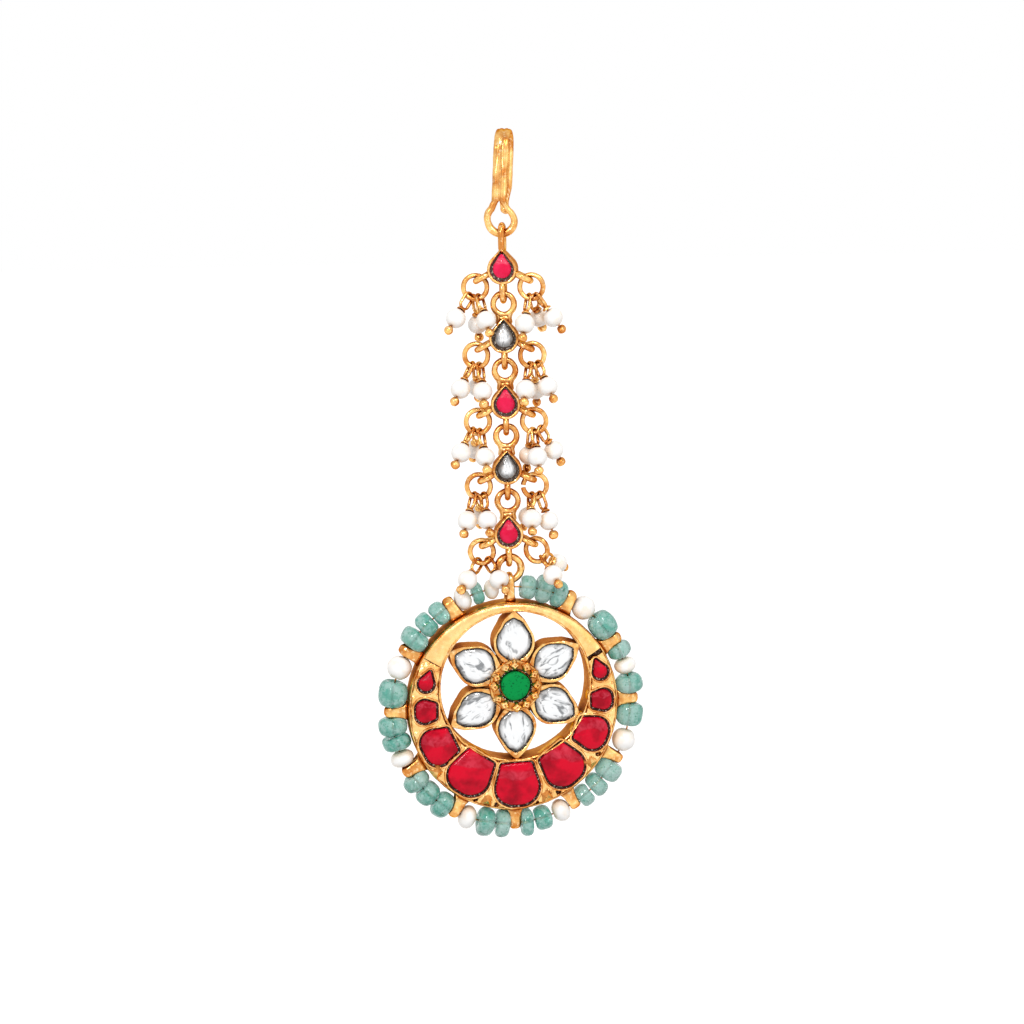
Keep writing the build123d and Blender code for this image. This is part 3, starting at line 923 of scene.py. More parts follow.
class GranuleTree(Tree):
    """Strews small grains over a surface."""

    def __init__(self) -> None:
        """Builds the tree."""
        super().__init__("granules_on_surface", "Part", "Density", "Least", "Most")
        given = self.given
        spread = self.add("GeometryNodeDistributePointsOnFaces", {
            "Mesh": given["Geometry"], "Density": given["Density"], "Seed": given["Seed"]})
        size = self.add("FunctionNodeRandomValue", {"Min": given["Least"], "Max": given["Most"],
                                                    "Seed": given["Seed"]}, data_type="FLOAT")
        part = self.add("GeometryNodeObjectInfo", {"Object": given["Part"]})
        placed = self.add("GeometryNodeInstanceOnPoints", {
            "Points": spread.outputs["Points"], "Instance": part.outputs["Geometry"],
            "Scale": size.outputs["Value"]})
        self.hand_worked(placed.outputs[0])


@dataclass
class Copy:
    """Where one copy of a part goes: its middle, its lengthwise and sideways directions and its size."""

    at: np.ndarray
    lengthwise: np.ndarray
    sideways: np.ndarray
    size: tuple[float, float, float] = (1.0, 1.0, 1.0)


class Workshop:
    """The trees, and the small parts that they copy."""

    def __init__(self, finishes: Finishes) -> None:
        """Builds the trees and the parts.

        Args:
            finishes: the materials.
        """
        self.finishes = finishes
        self.copies = CopiesTree()
        self.wires = WireTree()
        self.granules = GranuleTree()
        self.parts: dict[str, bpy.types.Object] = {}

    def keep(self, name: str, shell: Shell) -> None:
        """Keeps a small part for copying."""
        self.parts[name] = linked(f"pattern_{name}", shell.mesh(name))

    def clear(self) -> None:
        """Takes the small parts away once all copies are made."""
        for part in self.parts.values():
            bpy.data.objects.remove(part)
        self.parts.clear()

    def copy(self, part: str, copies: Sequence[Copy], finish: bpy.types.Material, unevenness: float = 0.0,
             grain: float = 1.0, seed: int = 1) -> bpy.types.Mesh:
        """Mesh of the copies of a small part.

        Args:
            part: its name.
            copies: where they go.
            finish: their material.
            unevenness: how much their surface wanders.
            grain: size of the wandering.
            seed: start of the pattern.

        Returns:
            One mesh.
        """
        points = bpy.data.meshes.new("points")
        points.from_pydata([tuple(copy.at) for copy in copies], [], [])
        for name in ("lengthwise", "sideways", "size"):
            values = np.array([getattr(copy, name) for copy in copies], np.float32)
            points.attributes.new(name, "FLOAT_VECTOR", "POINT").data.foreach_set("vector", values.ravel())
        return self.copies.run(points, {"Part": self.parts[part], "Unevenness": unevenness, "Grain": grain,
                                        "Seed": seed, "Finish": finish})

    def wire(self, path: np.ndarray, radius: float, closed: bool, unevenness: float, grain: float,
             seed: int) -> bpy.types.Mesh:
        """Mesh of a wire along a path.

        Args:
            path: its centre line.
            radius: the wire's radius.
            closed: whether the path closes on itself.
            unevenness: how much its surface wanders.
            grain: size of the wandering.
            seed: start of the pattern.

        Returns:
            One mesh.
        """
        line = bpy.data.meshes.new("line")
        number = len(path)
        edges = [(index, (index + 1) % number) for index in range(number if closed else number - 1)]
        line.from_pydata(path.tolist(), edges, [])
        return self.wires.run(line, {"Wire radius": radius, "Unevenness": unevenness, "Grain": grain,
                                     "Seed": seed, "Finish": self.finishes.gold})


def joined(meshes: Sequence[bpy.types.Mesh], name: str) -> bpy.types.Mesh:
    """One mesh of several, each keeping its faces' tones.

    Args:
        meshes: the meshes.
        name: the new mesh's name.

    Returns:
        The new mesh.
    """
    whole = bmesh.new()
    for mesh in meshes:
        whole.from_mesh(mesh)
    made = bpy.data.meshes.new(name)
    whole.to_mesh(made)
    whole.free()
    return made


# ---- Hook ---------------------------------------------------------------------------------
@dataclass
class Hook:
    """Hair hook of two soldered wires, bent over, with a teardrop eye."""

    shop: Workshop
    yaw: float = -8.0
    wire: float = 1.25
    pair: float = 1.1
    bend: float = 2.9
    front_end: float = -10.4
    rear_end: float = -9.6
    tip_end: float = -11.6
    tip_wire: float = 1.4
    eye_radius: float = 2.1
    eye_bottom: float = -15.22
    lean: float = 3.4
    flutes_from: float = -6.0

    def __post_init__(self) -> None:
        """Finds the hook's own directions."""
        self.face = Place.facing((0, 0, 0), self.yaw).on((0, 0, 0), (*polar(1, -self.lean), 0), (0, 0, 1))

    @property
    def chain_point(self) -> np.ndarray:
        """Lowest point of the eye, through which the chain's upright line runs."""
        return self.face.out([(0, self.eye_bottom, self.bend)])[0]

    def _section(self, fluted: float, steps: int = 56) -> np.ndarray:
        """Section of the soldered wires, from two lobes to four flutes.

        Args:
            fluted: 0 for two plain wires, 1 for four flutes.
            steps: points round it.

        Returns:
            Points as across and outwards.
        """
        turn = 2 * math.pi * np.arange(steps) / steps
        ways = np.stack([np.cos(turn), np.sin(turn)], 1)

        def reach(middles: Sequence[float], radius: float) -> np.ndarray:
            """Distance from the middle to the lobes' skin, for lobes of one radius round some middles."""
            best = np.zeros(steps)
            for middle in middles:
                aside = ways[:, 1] * middle
                inside = radius * radius - aside * aside
                hit = ways[:, 0] * middle + np.sqrt(np.maximum(inside, 0))
                best = np.maximum(best, np.where(inside > 0, hit, 0))
            return best

        plain = np.maximum(reach((-self.pair / 2, self.pair / 2), self.wire / 2), reach((-0.2, 0.2), 0.5))
        cut = reach((-0.86, -0.3, 0.3, 0.86), 0.33)
        cut = np.maximum(cut, 0.9 * reach((-0.4, 0.4), 0.5))
        blend = plain * (1 - fluted) + np.maximum(cut, 0.72 * plain) * fluted
        return ways * blend[:, None]

    def build(self) -> None:
        """Builds the hook."""
        shell = Shell()
        top = self.wire / 2 - self.bend
        legs = 34
        front = [(self.bend, z) for z in np.linspace(self.front_end + 0.2, top, legs)]
        over = [(self.bend * math.cos(a), top + self.bend * math.sin(a))
                for a in np.linspace(0, math.pi, 40)[1:-1]]
        rear = [(-self.bend, z) for z in np.linspace(top, self.rear_end - 1.2, legs)]
        line = np.array(front + over + rear)
        along = np.gradient(line, axis=0)
        along /= np.linalg.norm(along, axis=1)[:, None]
        outward = np.column_stack([along[:, 1], -along[:, 0]])
        rings = []
        for (forward, height), (out_z, out_y) in zip(line, outward):
            share = min(1.0, max(0.0, (height - self.flutes_from) / 3.0)) if forward > -1 else 0.0
            section = self._section(share * share * (3 - 2 * share))
            if forward < -1:
                ends = [self.rear_end - 1.2, self.rear_end + 1.5]
                section = section * (np.interp(height, ends, [0.5, 1.0]), 1.0)
            local = np.column_stack([section[:, 0], height + section[:, 1] * out_y,
                                     forward + section[:, 1] * out_z])
            rings.append(self.face.out(local))
        shell.loft(rings)
        tip = [(0, z, -self.bend) for z in np.linspace(self.rear_end + 0.6, self.tip_end, 14)]
        swell = self.tip_wire / 2 * (1 + 0.04 * np.sin(np.linspace(0, 5, 14)))
        shell.tube(self.face.out(tip), self.face.z, swell, closed=False, sides=20)
        shell.ball((0, self.tip_end, -self.bend), self.tip_wire / 2 * 1.03, self.face, 14)
        middle = self.eye_bottom + self.eye_radius
        half = math.degrees(math.acos(self.eye_radius / (self.front_end - middle)))
        bow = arc((0, middle), self.eye_radius, 90 + half, 360 - 2 * half, 60)
        top_left, top_right = np.array([(side * 0.3, self.front_end + 0.8, 0) for side in (-1, 1)])
        shares = np.linspace(0, 1, 16)[:-1, None]
        path = np.concatenate([top_left + (bow[0] - top_left) * shares, bow,
                               (bow[-1] + (top_right - bow[-1]) * (1 - shares[::-1]))[:]])
        path[:, 2] = self.bend
        thick = np.interp(path[:, 1], [self.eye_bottom, middle, self.front_end], [0.62, 0.54, 0.5])
        shell.tube(self.face.out(path), self.face.z, thick, thick * 1.02, sides=18, closed=False)
        shell.uneven((0.035, 1.1, 3.0), (0.02, 0.35, 9.0))
        for block in shell.points:
            block[:, 0] -= np.interp(block[:, 2], [-13.5, -10.5], [0.2, 0.65])
        finish_piece(shell.mesh("hook"), "hook_gold", CHAIN, ["hook"], self.shop.finishes.golds)


# ---- Chain --------------------------------------------------------------------------------
@dataclass
class Link:
    """One link: a soldered top eye or bail, a teardrop bezel with its stone, side loops and a bottom loop."""

    shop: Workshop
    number: int
    yaw: float
    axis: np.ndarray
    last: bool
    loop_floor: float
    pitch: float = 10.43
    first_eye: float = -26.2
    eye_to_bezel: float = 4.9
    first_bezel: float = -20.32
    eye_radius: float = 1.64
    eye_wire: float = 0.96
    bezel: Rounds = ((0, -0.45, 2.35), (0, 2.45, 0.35))
    stone: Rounds = ((0, -0.35, 1.38), (0, 1.55, 0.35))
    depth: float = 2.8
    seat: float = 0.4
    loop_wire: float = 1.0
    loop_width: float = 3.3
    bail_top: float = -13.43
    arm_wire: float = 0.9
    arm_root: tuple[float, float] = (1.7, -0.85)
    arm_end: tuple[float, float] = (4.7, -2.45)
    stone_half: float = 1.7

    # height over the seat, share of the way out, growth and depth into the stone
    STONE_STEPS = ((0.0, 1, 0.02, 0), (0.4, 1, 0.08, 0), (0.58, 1, 0.02, 0.0), (0.74, 0.86, -0.02, 0.04),
                   (0.86, 0.68, -0.02, 0.14), (0.93, 0.48, -0.02, 0.34), (0.96, 0.25, 0.0, 0.7))
    # points of the brace beside the neck, as far across and up
    BRACE = ((1.2, 3.85), (1.0, 3.35), (0.84, 2.8), (0.95, 2.1))

    def __post_init__(self) -> None:
        """Finds the bezel's place."""
        eye = self.first_eye - self.pitch * (self.number - 2)
        self.height = eye - self.eye_to_bezel if self.number > 1 else self.first_bezel
        self.face = Place.facing((self.axis[0], self.axis[1], self.height), self.yaw)

    def _loop(self, shell: Shell, low: float, high: float, wide: float, thick: float) -> None:
        """Long loop seen edge-on from the front, between two heights."""
        middle = self.face.on((0, (low + high) / 2, 0), (0, 1, 0), (1, 0, 0))
        path = middle.out(slot_path(high - low - wide, self.loop_width - wide, 20))
        shell.tube(path, self.face.x, wide / 2, thick / 2, sides=14)

    def _bezel(self, shell: Shell) -> None:
        """Teardrop wall round the stone, with its loop below."""
        outer, half = Outline(self.bezel, 88), self.depth / 2
        rings = [(-0.25, -half), (-0.06, -half + 0.1), (0.0, -half + 0.35), (0.0, half - 0.4),
                 (-0.03, half - 0.16), (-0.12, half - 0.03), (-0.28, half), (-0.42, half - 0.07),
                 (-0.5, half - 0.25), (-0.55, half - 0.42), (-0.7, self.seat + 0.25), (-1.3, self.seat + 0.2)]
        # Outside wall in satin gold with painted shade, the rim bright, the groove round the stone in dark
        # painted shade.
        tones = [Tone.SATIN_SHADED] * 4 + [Tone.BRIGHT] * 4 + [Tone.HOLLOW_SHADE] * 3
        shell.loft([self.face.out(outer.ring(grow, height)) for grow, height in rings], tones)
        floor = self.loop_floor if self.last else self.first_eye - self.pitch * (self.number - 1) + 0.05
        bottom = self.bezel[0][1] - self.bezel[0][2]
        self._loop(shell, floor - self.height, bottom + 0.9, self.loop_wire, self.loop_wire * 0.96)

    def _eye(self, shell: Shell) -> None:
        """Round eye on a braced neck; the fourth link's is dented."""
        face = self.face
        eye = face.on((0, self.eye_to_bezel, 0), (1, 0, 0), (0, 0, 1))
        circle = arc((0, 0), self.eye_radius, -90, 360, 56)
        turn = np.radians(-90 + 360 * np.arange(56) / 56)
        wire = self.eye_wire / 2 * (1 + 0.05 * np.sin(3 * turn + self.number))
        if self.number == 4:
            circle[:, 1] -= 0.34 * np.exp(-((turn - math.radians(90)) / 0.24) ** 2)
        shell.tube(eye.out(circle), face.z, wire, wire, sides=16)
        shell.ball((0, self.eye_to_bezel - self.eye_radius - 0.62, 0), (1.05, 0.6, 0.5), face, 12)
        for side in (-1, 1):
            brace = [(side * across, up, 0) for across, up in self.BRACE]
            shell.tube(face.out(brace), face.z, 0.42, sides=12, closed=False)

    def _side_loops(self, shell: Shell) -> None:
        """Loops on slanting arms, for the side rings."""
        face = self.face
        for side in (-1, 1):
            root, end = (np.array([side * across, up, 0]) for across, up in (self.arm_root, self.arm_end))
            across = np.cross(end - root, (0, 0, 1))
            middle = face.on((root + end) / 2, (0, 0, 1), across)
            radius = np.linalg.norm(end - root) / 2 - self.arm_wire / 2
            circle = arc((0, 0), radius, 0, 360, 44)
            wire = self.arm_wire / 2 * (1.1 + 0.06 * np.sin(np.linspace(0, 9, 44) + side * self.number))
            shell.tube(middle.out(circle), face.way(across), wire)
            shell.ball(root + (end - root) * 0.12, (0.5, 0.42, 0.62), face, 10)

    def build(self) -> None:
        """Builds the link's gold."""
        shell = Shell()
        self._bezel(shell)
        if self.number > 1:
            self._eye(shell)
        else:
            top = self.bezel[1][1] + self.bezel[1][2]
            self._loop(shell, top - 0.9, self.bail_top - self.height, self.loop_wire, self.loop_wire)
        self._side_loops(shell)
        shell.uneven((0.03, 0.9, 5.0 * self.number), (0.02, 0.3, 11.0 + self.number))
        finish_piece(shell.mesh(f"link_{self.number}"), f"link_{self.number}_gold", CHAIN,
                     [f"link_{self.number}"], self.shop.finishes.link_golds)

    def stone_shell(self, shell: Shell) -> None:
        """Adds the link's stone.

        Args:
            shell: the shell that gathers the stones of its colour.
        """
        line = Outline(self.stone, 64)
        seat = self.seat + 0.15
        flat = [line.ring(grow, seat + lift, shrink) for lift, shrink, grow, depth in self.STONE_STEPS]
        skin = shell.worked([self.face.out(ring) for ring in flat], Tone.BRIGHT, (0.05, 0.7, 2.0 * self.number))
        # Red stones carry measures for the painted reflection band, white ones for painted reflection streaks
        # and painted edge shade.
        if self.number % 2:
            shell.window(skin, self.number + 0.3)
        else:
            shell.cut(flat, [step[3] for step in self.STONE_STEPS], self.number + 10, 1, self.stone_half)


@dataclass
class SideRing:
    """Ring in a link's side loop, with its row of pearl drops."""

    shop: Workshop
    link: Link
    side: int
    out: float
    down: float
    turn: float
    gap: float
    radius: float = 1.88
    wire: float = 0.8

    def __post_init__(self) -> None:
        """Finds the ring's place."""
        cross = self.side * (self.link.arm_root[0] + self.link.arm_end[0]) / 2
        swivel = math.radians(self.turn)
        cos, sin = math.cos(swivel), math.sin(swivel)
        reach = self.side * self.out - cross
        self.place = self.link.face.on((cross + reach * cos, -self.down, reach * sin), (cos, 0, sin),
                                       (-sin, 0, cos))
        self.word = "left" if self.side < 0 else "right"

    def build(self) -> None:
        """Builds the ring."""
        seed = 3 * self.link.number + self.side
        if self.gap:
            path = arc((0, 0), self.radius, 180 - self.gap / 2 - (360 - self.gap), 360 - self.gap, 56)
        else:
            path = arc((0, 0), self.radius, 0, 360, 56)
        mesh = self.shop.wire(self.place.out(path), self.wire / 2, not self.gap, 0.16, 1.3, seed)
        name = f"side_ring_{self.link.number}_{self.word}"
        finish_piece(mesh, f"{name}_gold", CHAIN, [name], [self.shop.finishes.gold])


@dataclass
class Drop:
    """Pearl on a wire loop with a coiled cap and a gold ball, hung on a side ring."""

    ring: SideRing
    place_angle: float
    swing: float
    lean: float
    twist: float
    stem: float
    stem_wire: float = 0.34
    cap_height: float = 0.5
    pearl: float = 1.58
    ball: float = 0.68
    play: float = 0.1

    def __post_init__(self) -> None:
        """Finds the drop's place, z up along its wire."""
        face, side = self.ring.link.face, self.ring.side
        hang_x, hang_y = polar(self.ring.radius, -90 + side * self.place_angle)
        hang = face.back(self.ring.place.out([(hang_x, hang_y, 0)])[0])
        swing, lean = math.radians(self.swing), math.radians(self.lean)
        up = np.array([-side * math.sin(swing) * math.cos(lean), math.cos(swing) * math.cos(lean),
                       -math.sin(lean)])
        level = unit(np.array([1.0, 0, 0]) - up * up[0]) * math.sqrt(1 - up[0] ** 2)
        twist = math.radians(self.twist)
        level = level * math.cos(twist) + np.cross(up, level) * math.sin(twist)
        self.place = face.on(hang, level, up)
        spread = math.radians(34.0 if self.place_angle % 2 else -34.0) - twist
        self.spread = self.place.x * math.cos(spread) + self.place.y * math.sin(spread)
        self.top = self.ring.wire / 2 + self.play + self.stem_wire
        self.pearl_height = -self.stem - self.cap_height - self.pearl
        self.ball_height = self.pearl_height - self.pearl - self.ball - self.play / 2

    def copy(self, height: float, size: tuple[float, float, float]) -> Copy:
        """Copy of a part at a height on the drop's wire."""
        return Copy(self.place.out([(0, 0, height)])[0], self.place.z, self.place.x, size)


@dataclass
class DropRow:
    """All drops of one side of the chain."""

    shop: Workshop
    side: int
    drops: list[Drop]

    def build(self) -> None:
        """Builds the wires with their caps and balls, and the pearls."""
        word, gold = self.drops[0].ring.word, self.shop.finishes.gold
        loops, caps, pins, balls, pearls = [], [], [], [], []
        for index, drop in enumerate(self.drops):
            length = drop.top + drop.stem + drop.stem_wire / 2
            loop = drop.copy((drop.top - drop.stem - drop.stem_wire / 2) / 2, (1, 1, length))
            loop.sideways = drop.spread
            loops.append(loop)
            caps.append(drop.copy(-drop.stem - drop.cap_height / 2, (1, 1, 1)))
            low = drop.ball_height
            pins.append(drop.copy((low - drop.stem) / 2, (1, 1, -drop.stem - low)))
            wide = 1 + 0.07 * math.sin(2.3 * index + self.side)
            tall = 1 + 0.05 * math.cos(1.7 * index)
            ball = drop.ball
            balls.append(drop.copy(drop.ball_height, (ball * wide * 1.08, ball * 1.08, ball * tall * 1.06)))
            size = drop.pearl * (0.99 + 0.02 * math.sin(3.1 * index))
            high = drop.pearl * (0.96 + 0.04 * math.cos(2.1 * index))
            pearls.append(drop.copy(drop.pearl_height, (size, size * 0.98, high)))
        meshes = [self.shop.copy("stem_loop", loops, gold, 0.06, 0.8, 3),
                  self.shop.copy("coil_cap", caps, gold, 0.05, 0.6, 4),
                  self.shop.copy("pin", pins, gold), self.shop.copy("ball", balls, gold, 0.3, 0.8, 5)]
        finish_piece(joined(meshes, f"drop_wires_{word}"), f"drop_wires_{word}", CHAIN,
                     [f"head_pins_{word}"], [gold])
        mesh = self.shop.copy("pearl", pearls, self.shop.finishes.pearl, 0.16, 1.5, 6)
        finish_piece(mesh, f"pearls_{word}", CHAIN, [f"drop_pearls_{word}"],
                     [self.shop.finishes.pearl])


@dataclass
class Chain:
    """Links, their stones, side rings, drops and the ring that holds the pendant."""

    shop: Workshop
    axis: np.ndarray
    pivot_height: float = -70.32
    connector_radius: float = 1.92
    connector_wire: float = 1.15
    pendant_yaw: float = 10.0
    play: float = 0.1
    yaws: tuple[float, ...] = (-8, -3, 0, 2, 4)
    side_rings: tuple[tuple[float, ...], ...] = (
        (1, -1, 4.45, 3.2, 0, 0), (1, 1, 4.5, 3.2, 6, 0), (2, -1, 4.5, 3.15, 8, 0), (2, 1, 4.35, 3.2, -5, 0),
        (3, -1, 4.45, 3.15, -6, 0), (3, 1, 4.45, 3.2, 5, 0), (4, -1, 4.55, 3.05, 5, 0),
        (4, 1, 4.4, 3.2, -4, 14), (5, -1, 4.3, 3.2, 6, 0), (5, 1, 4.58, 3.05, 28, 0))
    drops: tuple[tuple[float, ...], ...] = (
        (1, -1, 34, 30, 30, 25, 2.1), (1, -1, 3, -1, -25, 21, 2.4), (1, -1, -22, -20, 30, 13, 2.0),
        (1, 1, -17, -6, 25, 14, 2.2), (1, 1, 8, 9, -42, 20, 2.2), (1, 1, 33, 34, -11, 25, 2.0),
        (2, -1, 29, 25, 28, 24, 2.2), (2, -1, -18, -7, 31, 5, 2.2), (2, -1, 0, 1, -38, 15, 2.2),
        (2, 1, -19, -7, 37, 23, 2.2), (2, 1, 5, 3, -26, 24, 2.2), (2, 1, 29, 26, 30, 9, 2.0),
        (3, -1, 37, 28, 35, 25, 2.2), (3, -1, -14, -9, 36, 13, 2.3), (3, -1, 7, 10, -46, 21, 2.2),
        (3, 1, 0, 6, 26, 17, 2.0), (3, 1, -16, -7, -21, 10, 2.1), (3, 1, 36, 30, -17, 25, 2.0),
        (4, -1, 29, 17, 30, 22, 2.2), (4, -1, -21, -9, 38, 4, 2.2), (4, -1, 1, -2, -41, 22, 2.2),
        (4, 1, -21, -1, 41, 24, 2.1), (4, 1, -2, -18, -32, 16, 2.1), (4, 1, 25, 18, 18, 13, 2.2),
        (5, -1, 18, 42, 44, 15, 2.0), (5, -1, -31, -32, 46, 1, 2.0), (5, 1, 36, 32, 56, -38, 2.0),
        (5, 1, 52, 54, -48, 28, 2.0))

    def _small_parts(self) -> None:
        """Makes the parts that the drops repeat."""
        loop = Shell()
        edge = Place(np.zeros(3), np.array([0, 0, 1.0]), np.array([0, 1.0, 0]), np.array([-1.0, 0, 0]))
        length, wide, wire, sides = 3.1, 1.95, 0.34, 10
        path = edge.out(slot_path(length, wide - wire, 12))
        path[:, 2] /= length + wire
        loop.tube(path, (1, 0, 0), 0.26, sides=sides)
        middle = path.repeat(sides, 0)
        loop.points[0] = middle + (loop.points[0] - middle) * np.array([1, 1, 0.3])
        self.shop.keep("stem_loop", loop)
        coil = Shell()
        turns = 2.6
        reach, height = np.linspace((0.64, -0.13), (0.3, 0.14), 56).T
        turn = np.linspace(0, 2 * math.pi * turns, 56)
        spiral = np.column_stack([reach * np.cos(turn), reach * np.sin(turn), height])
        coil.tube(spiral, (0, 0, 1), 0.16, 0.14, sides=8, closed=False)
        self.shop.keep("coil_cap", coil)
        pin = Shell()
        pin.tube(np.array([(0, 0, z) for z in (-0.5, 0, 0.5)]), (0, 1, 0), 0.18, sides=8, closed=False)
        pin.points[0][:, 2] = np.clip(pin.points[0][:, 2], -0.5, 0.5)
        self.shop.keep("pin", pin)
        for name, steps, dimple in (("ball", 12, 0.3), ("pearl", 22, 0.16)):
            part = Shell()
            part.ball((0, 0, 0), 1.0, steps=steps, dimple=dimple)
            self.shop.keep(name, part)

    def build(self) -> None:
        """Builds everything of the chain."""
        self._small_parts()
        floor = self.pivot_height + 2 * self.connector_radius - self.connector_wire / 2 - self.play - 1.0
        links = {}
        reds, whites = Shell(), Shell()
        for number, yaw in enumerate(self.yaws, 1):
            link = Link(self.shop, number, yaw, self.axis, number == len(self.yaws), floor)
            link.build()
            link.stone_shell(reds if number % 2 else whites)
            links[number] = link
        kinds = self.shop.finishes
        finish_piece(reds.mesh("link_rubies"), "link_red_stones", CHAIN, ["link_rubies"],
                     [kinds.pink])
        finish_piece(whites.mesh("link_polkis"), "link_white_stones", CHAIN, ["link_polkis"],
                     [kinds.polki])
        rows: dict[int, list[Drop]] = {-1: [], 1: []}
        for number, side, *sizes in self.side_rings:
            ring = SideRing(self.shop, links[number], side, *sizes)
            ring.build()
            rows[side] += [Drop(ring, *row[2:]) for row in self.drops if row[0] == number and row[1] == side]
        for side, drops in rows.items():
            DropRow(self.shop, side, drops).build()
        pivot = Place.facing((self.axis[0], self.axis[1], self.pivot_height), self.pendant_yaw)
        ring = Shell()
        circle = arc((0, self.connector_radius), self.connector_radius, 0, 360, 72)
        turn = np.linspace(0, 2 * math.pi, 72)
        wire = self.connector_wire / 2 * (1 + 0.035 * np.sin(3 * turn + 1) + 0.02 * np.sin(7 * turn))
        ring.tube(pivot.out(circle), pivot.z, wire, wire, sides=22)
        ring.uneven((0.03, 0.8, 21.0))
        finish_piece(ring.mesh("connector_ring"), "connector_ring_gold", CHAIN, ["connector_ring"],
                     kinds.golds)


# ---- Pendant ------------------------------------------------------------------------------
@dataclass
class Setting:
    """One stone of the crescent: where it sits and its outline."""

    node: str
    angle: float
    distance: float
    rounds: Rounds
    small: bool


@dataclass
class Pendant:
    """Round pendant: crescent of red stones, plain strip, flower, ears, thread and beads."""

    shop: Workshop
    axis: np.ndarray
    pivot_height: float = -70.32
    yaw: float = 10.0
    pivot_to_centre: float = 20.4
    radius: float = 17.1
    opening: float = 12.1
    opening_at: tuple[float, float] = (0.25, 3.5)
    back: float = -2.1
    floor: float = 1.55
    strip_from: float = 32.0
    strip_to: float = 148.0
    setting_wall: float = 0.6
    stone_front: float = 2.88
    petal_rounds: Rounds = ((4.2, 0, 1.8), (6.9, 0, 3.4), (9.3, 0, 2.25), (11.8, 0, 0.45))
    petal_stone: Rounds = ((5.2, 0, 1.3), (7.1, 0, 2.8), (8.9, 0, 1.85), (10.7, 0, 0.3))
    collar_bosses: int = 12
    collar_steps: int = 150
    pyramid_half: float = 1.05
    emerald_radius: float = 2.42
    ears: int = 12
    ear_band: float = 1.3
    ear_thickness: float = 0.5
    ear_reach: float = 20.85
    ear_depth: float = 2.5
    bail_reach: float = 21.75
    bail_depth: float = 3.0
    thread_radius: float = 19.6
    thread_drop: float = 0.3
    thread_wire: float = 0.4
    bead_play: float = 0.25
    bail_clear: float = 0.9
    rubies: tuple[tuple[str, float, float, float, float], ...] = (
        ("ruby_bottom", -89.0, 12.8, 7.35, 7.25), ("ruby_right_4", -52.8, 12.85, 6.9, 6.95),
        ("ruby_right_3", -21.7, 13.6, 5.7, 5.5), ("ruby_left_4", -125.1, 12.85, 7.2, 7.05),
        ("ruby_left_3", -155.4, 13.65, 6.3, 5.4))
    small_stones: tuple[tuple[float, ...], ...] = (
        (1.3, 14.4, 3.7, 3.6, 0), (179.3, 14.3, 4.0, 3.6, 0), (21.2, 15.05, 2.6, 3.6, -1),
        (160.0, 14.95, 2.7, 3.6, 1))
    piercings: tuple[tuple[float, float], ...] = (
        (-114.5, 16.2), (-101.5, 16.35), (-78.5, 16.35), (-64.5, 16.2), (-148.5, 16.2), (-32.5, 16.2))
    pyramids: tuple[tuple[float, float], ...] = (
        (-107.7, 15.75), (-71.9, 15.85), (-142.6, 16.05), (-38.9, 15.85))
    rim: tuple[tuple[float, tuple[tuple[str, float, float], ...]], ...] = (
        (0, (("green", 4.5, 3.6), ("pearl", 3.6, 3.3), ("green", 3.9, 2.9))),
        (30, (("green", 4.5, 4.1), ("pearl", 3.9, 3.8))),
        (60, (("green", 4.5, 2.8), ("green", 4.6, 3.3), ("green", 3.8, 3.1))),
        (90, (("pearl", 3.2, 3.1), ("green", 3.7, 2.4), ("pearl", 3.7, 3.5))),
        (120, (("green", 3.9, 3.6), ("green", 4.1, 3.8), ("green", 4.6, 4.2))),
        (150, (("pearl", 3.9, 3.9), ("green", 4.7, 4.1))),
        (180, (("green", 4.7, 3.3), ("green", 4.7, 2.8), ("pearl", 3.9, 3.3))),
        (210, (("green", 4.5, 3.5), ("green", 4.1, 3.9), ("green", 4.5, 4.0))),
        (240, (("pearl", 3.9, 3.4), ("green", 4.7, 3.1), ("green", 4.7, 2.6))),
        (270, (("green", 4.7, 2.6), ("green", 4.1, 3.4), ("pearl", 3.8, 3.7))),
        (300, (("green", 3.9, 3.1), ("green", 4.1, 3.3), ("green", 4.5, 4.1))),
        (330, (("pearl", 3.9, 3.9), ("green", 4.5, 3.6))))

    # a red stone's crown: share of the way out and share of its rise
    DOME = ((1.0, 0.0), (0.96, 0.22), (0.88, 0.4), (0.76, 0.58), (0.64, 0.73), (0.5, 0.86), (0.36, 0.95),
            (0.2, 0.99), (0.08, 1.0))
    # a pyramid: share of its width and height
    PYRAMID = ((1.0, 1.3), (1.0, 1.85), (0.55, 2.4), (0.06, 3.0))
    # a petal's cup: growth of its outline and height, outside and then inside
    CUP_OUTSIDE = ((-0.12, -1.6), (0.0, -1.48), (0.0, -0.4), (0.0, 0.6), (0.0, 1.5), (-0.02, 1.78),
                   (-0.1, 1.95), (-0.24, 2.0))
    CUP_INSIDE = ((0.26, 1.98), (0.15, 1.9), (0.09, 1.7), (0.06, 1.45), (-0.3, 1.4))
    # the collar's section: distance out, height, and the finish from there to the next point; satin gold is
    # painted shade on its sides, dark is painted shade round its well
    COLLAR = ((2.3, -1.6, Tone.BRIGHT), (5.1, -1.6, Tone.SATIN_SHADED), (5.1, 1.1, Tone.SATIN_SHADED),
              (4.25, 1.5, Tone.BRIGHT), (4.22, 2.1, Tone.BRIGHT), (4.08, 2.32, Tone.BRIGHT),
              (3.9, 2.32, Tone.SATIN_SHADED), (3.6, 2.24, Tone.SATIN_SHADED), (3.1, 2.22, Tone.SATIN_SHADED),
              (2.95, 2.2, Tone.SATIN_SHADED), (2.8, 2.12, Tone.HOLLOW_SHADE), (2.6, 2.08, Tone.HOLLOW_SHADE),
              (2.5, 1.2, Tone.BRIGHT), (2.3, 1.2, Tone.BRIGHT))
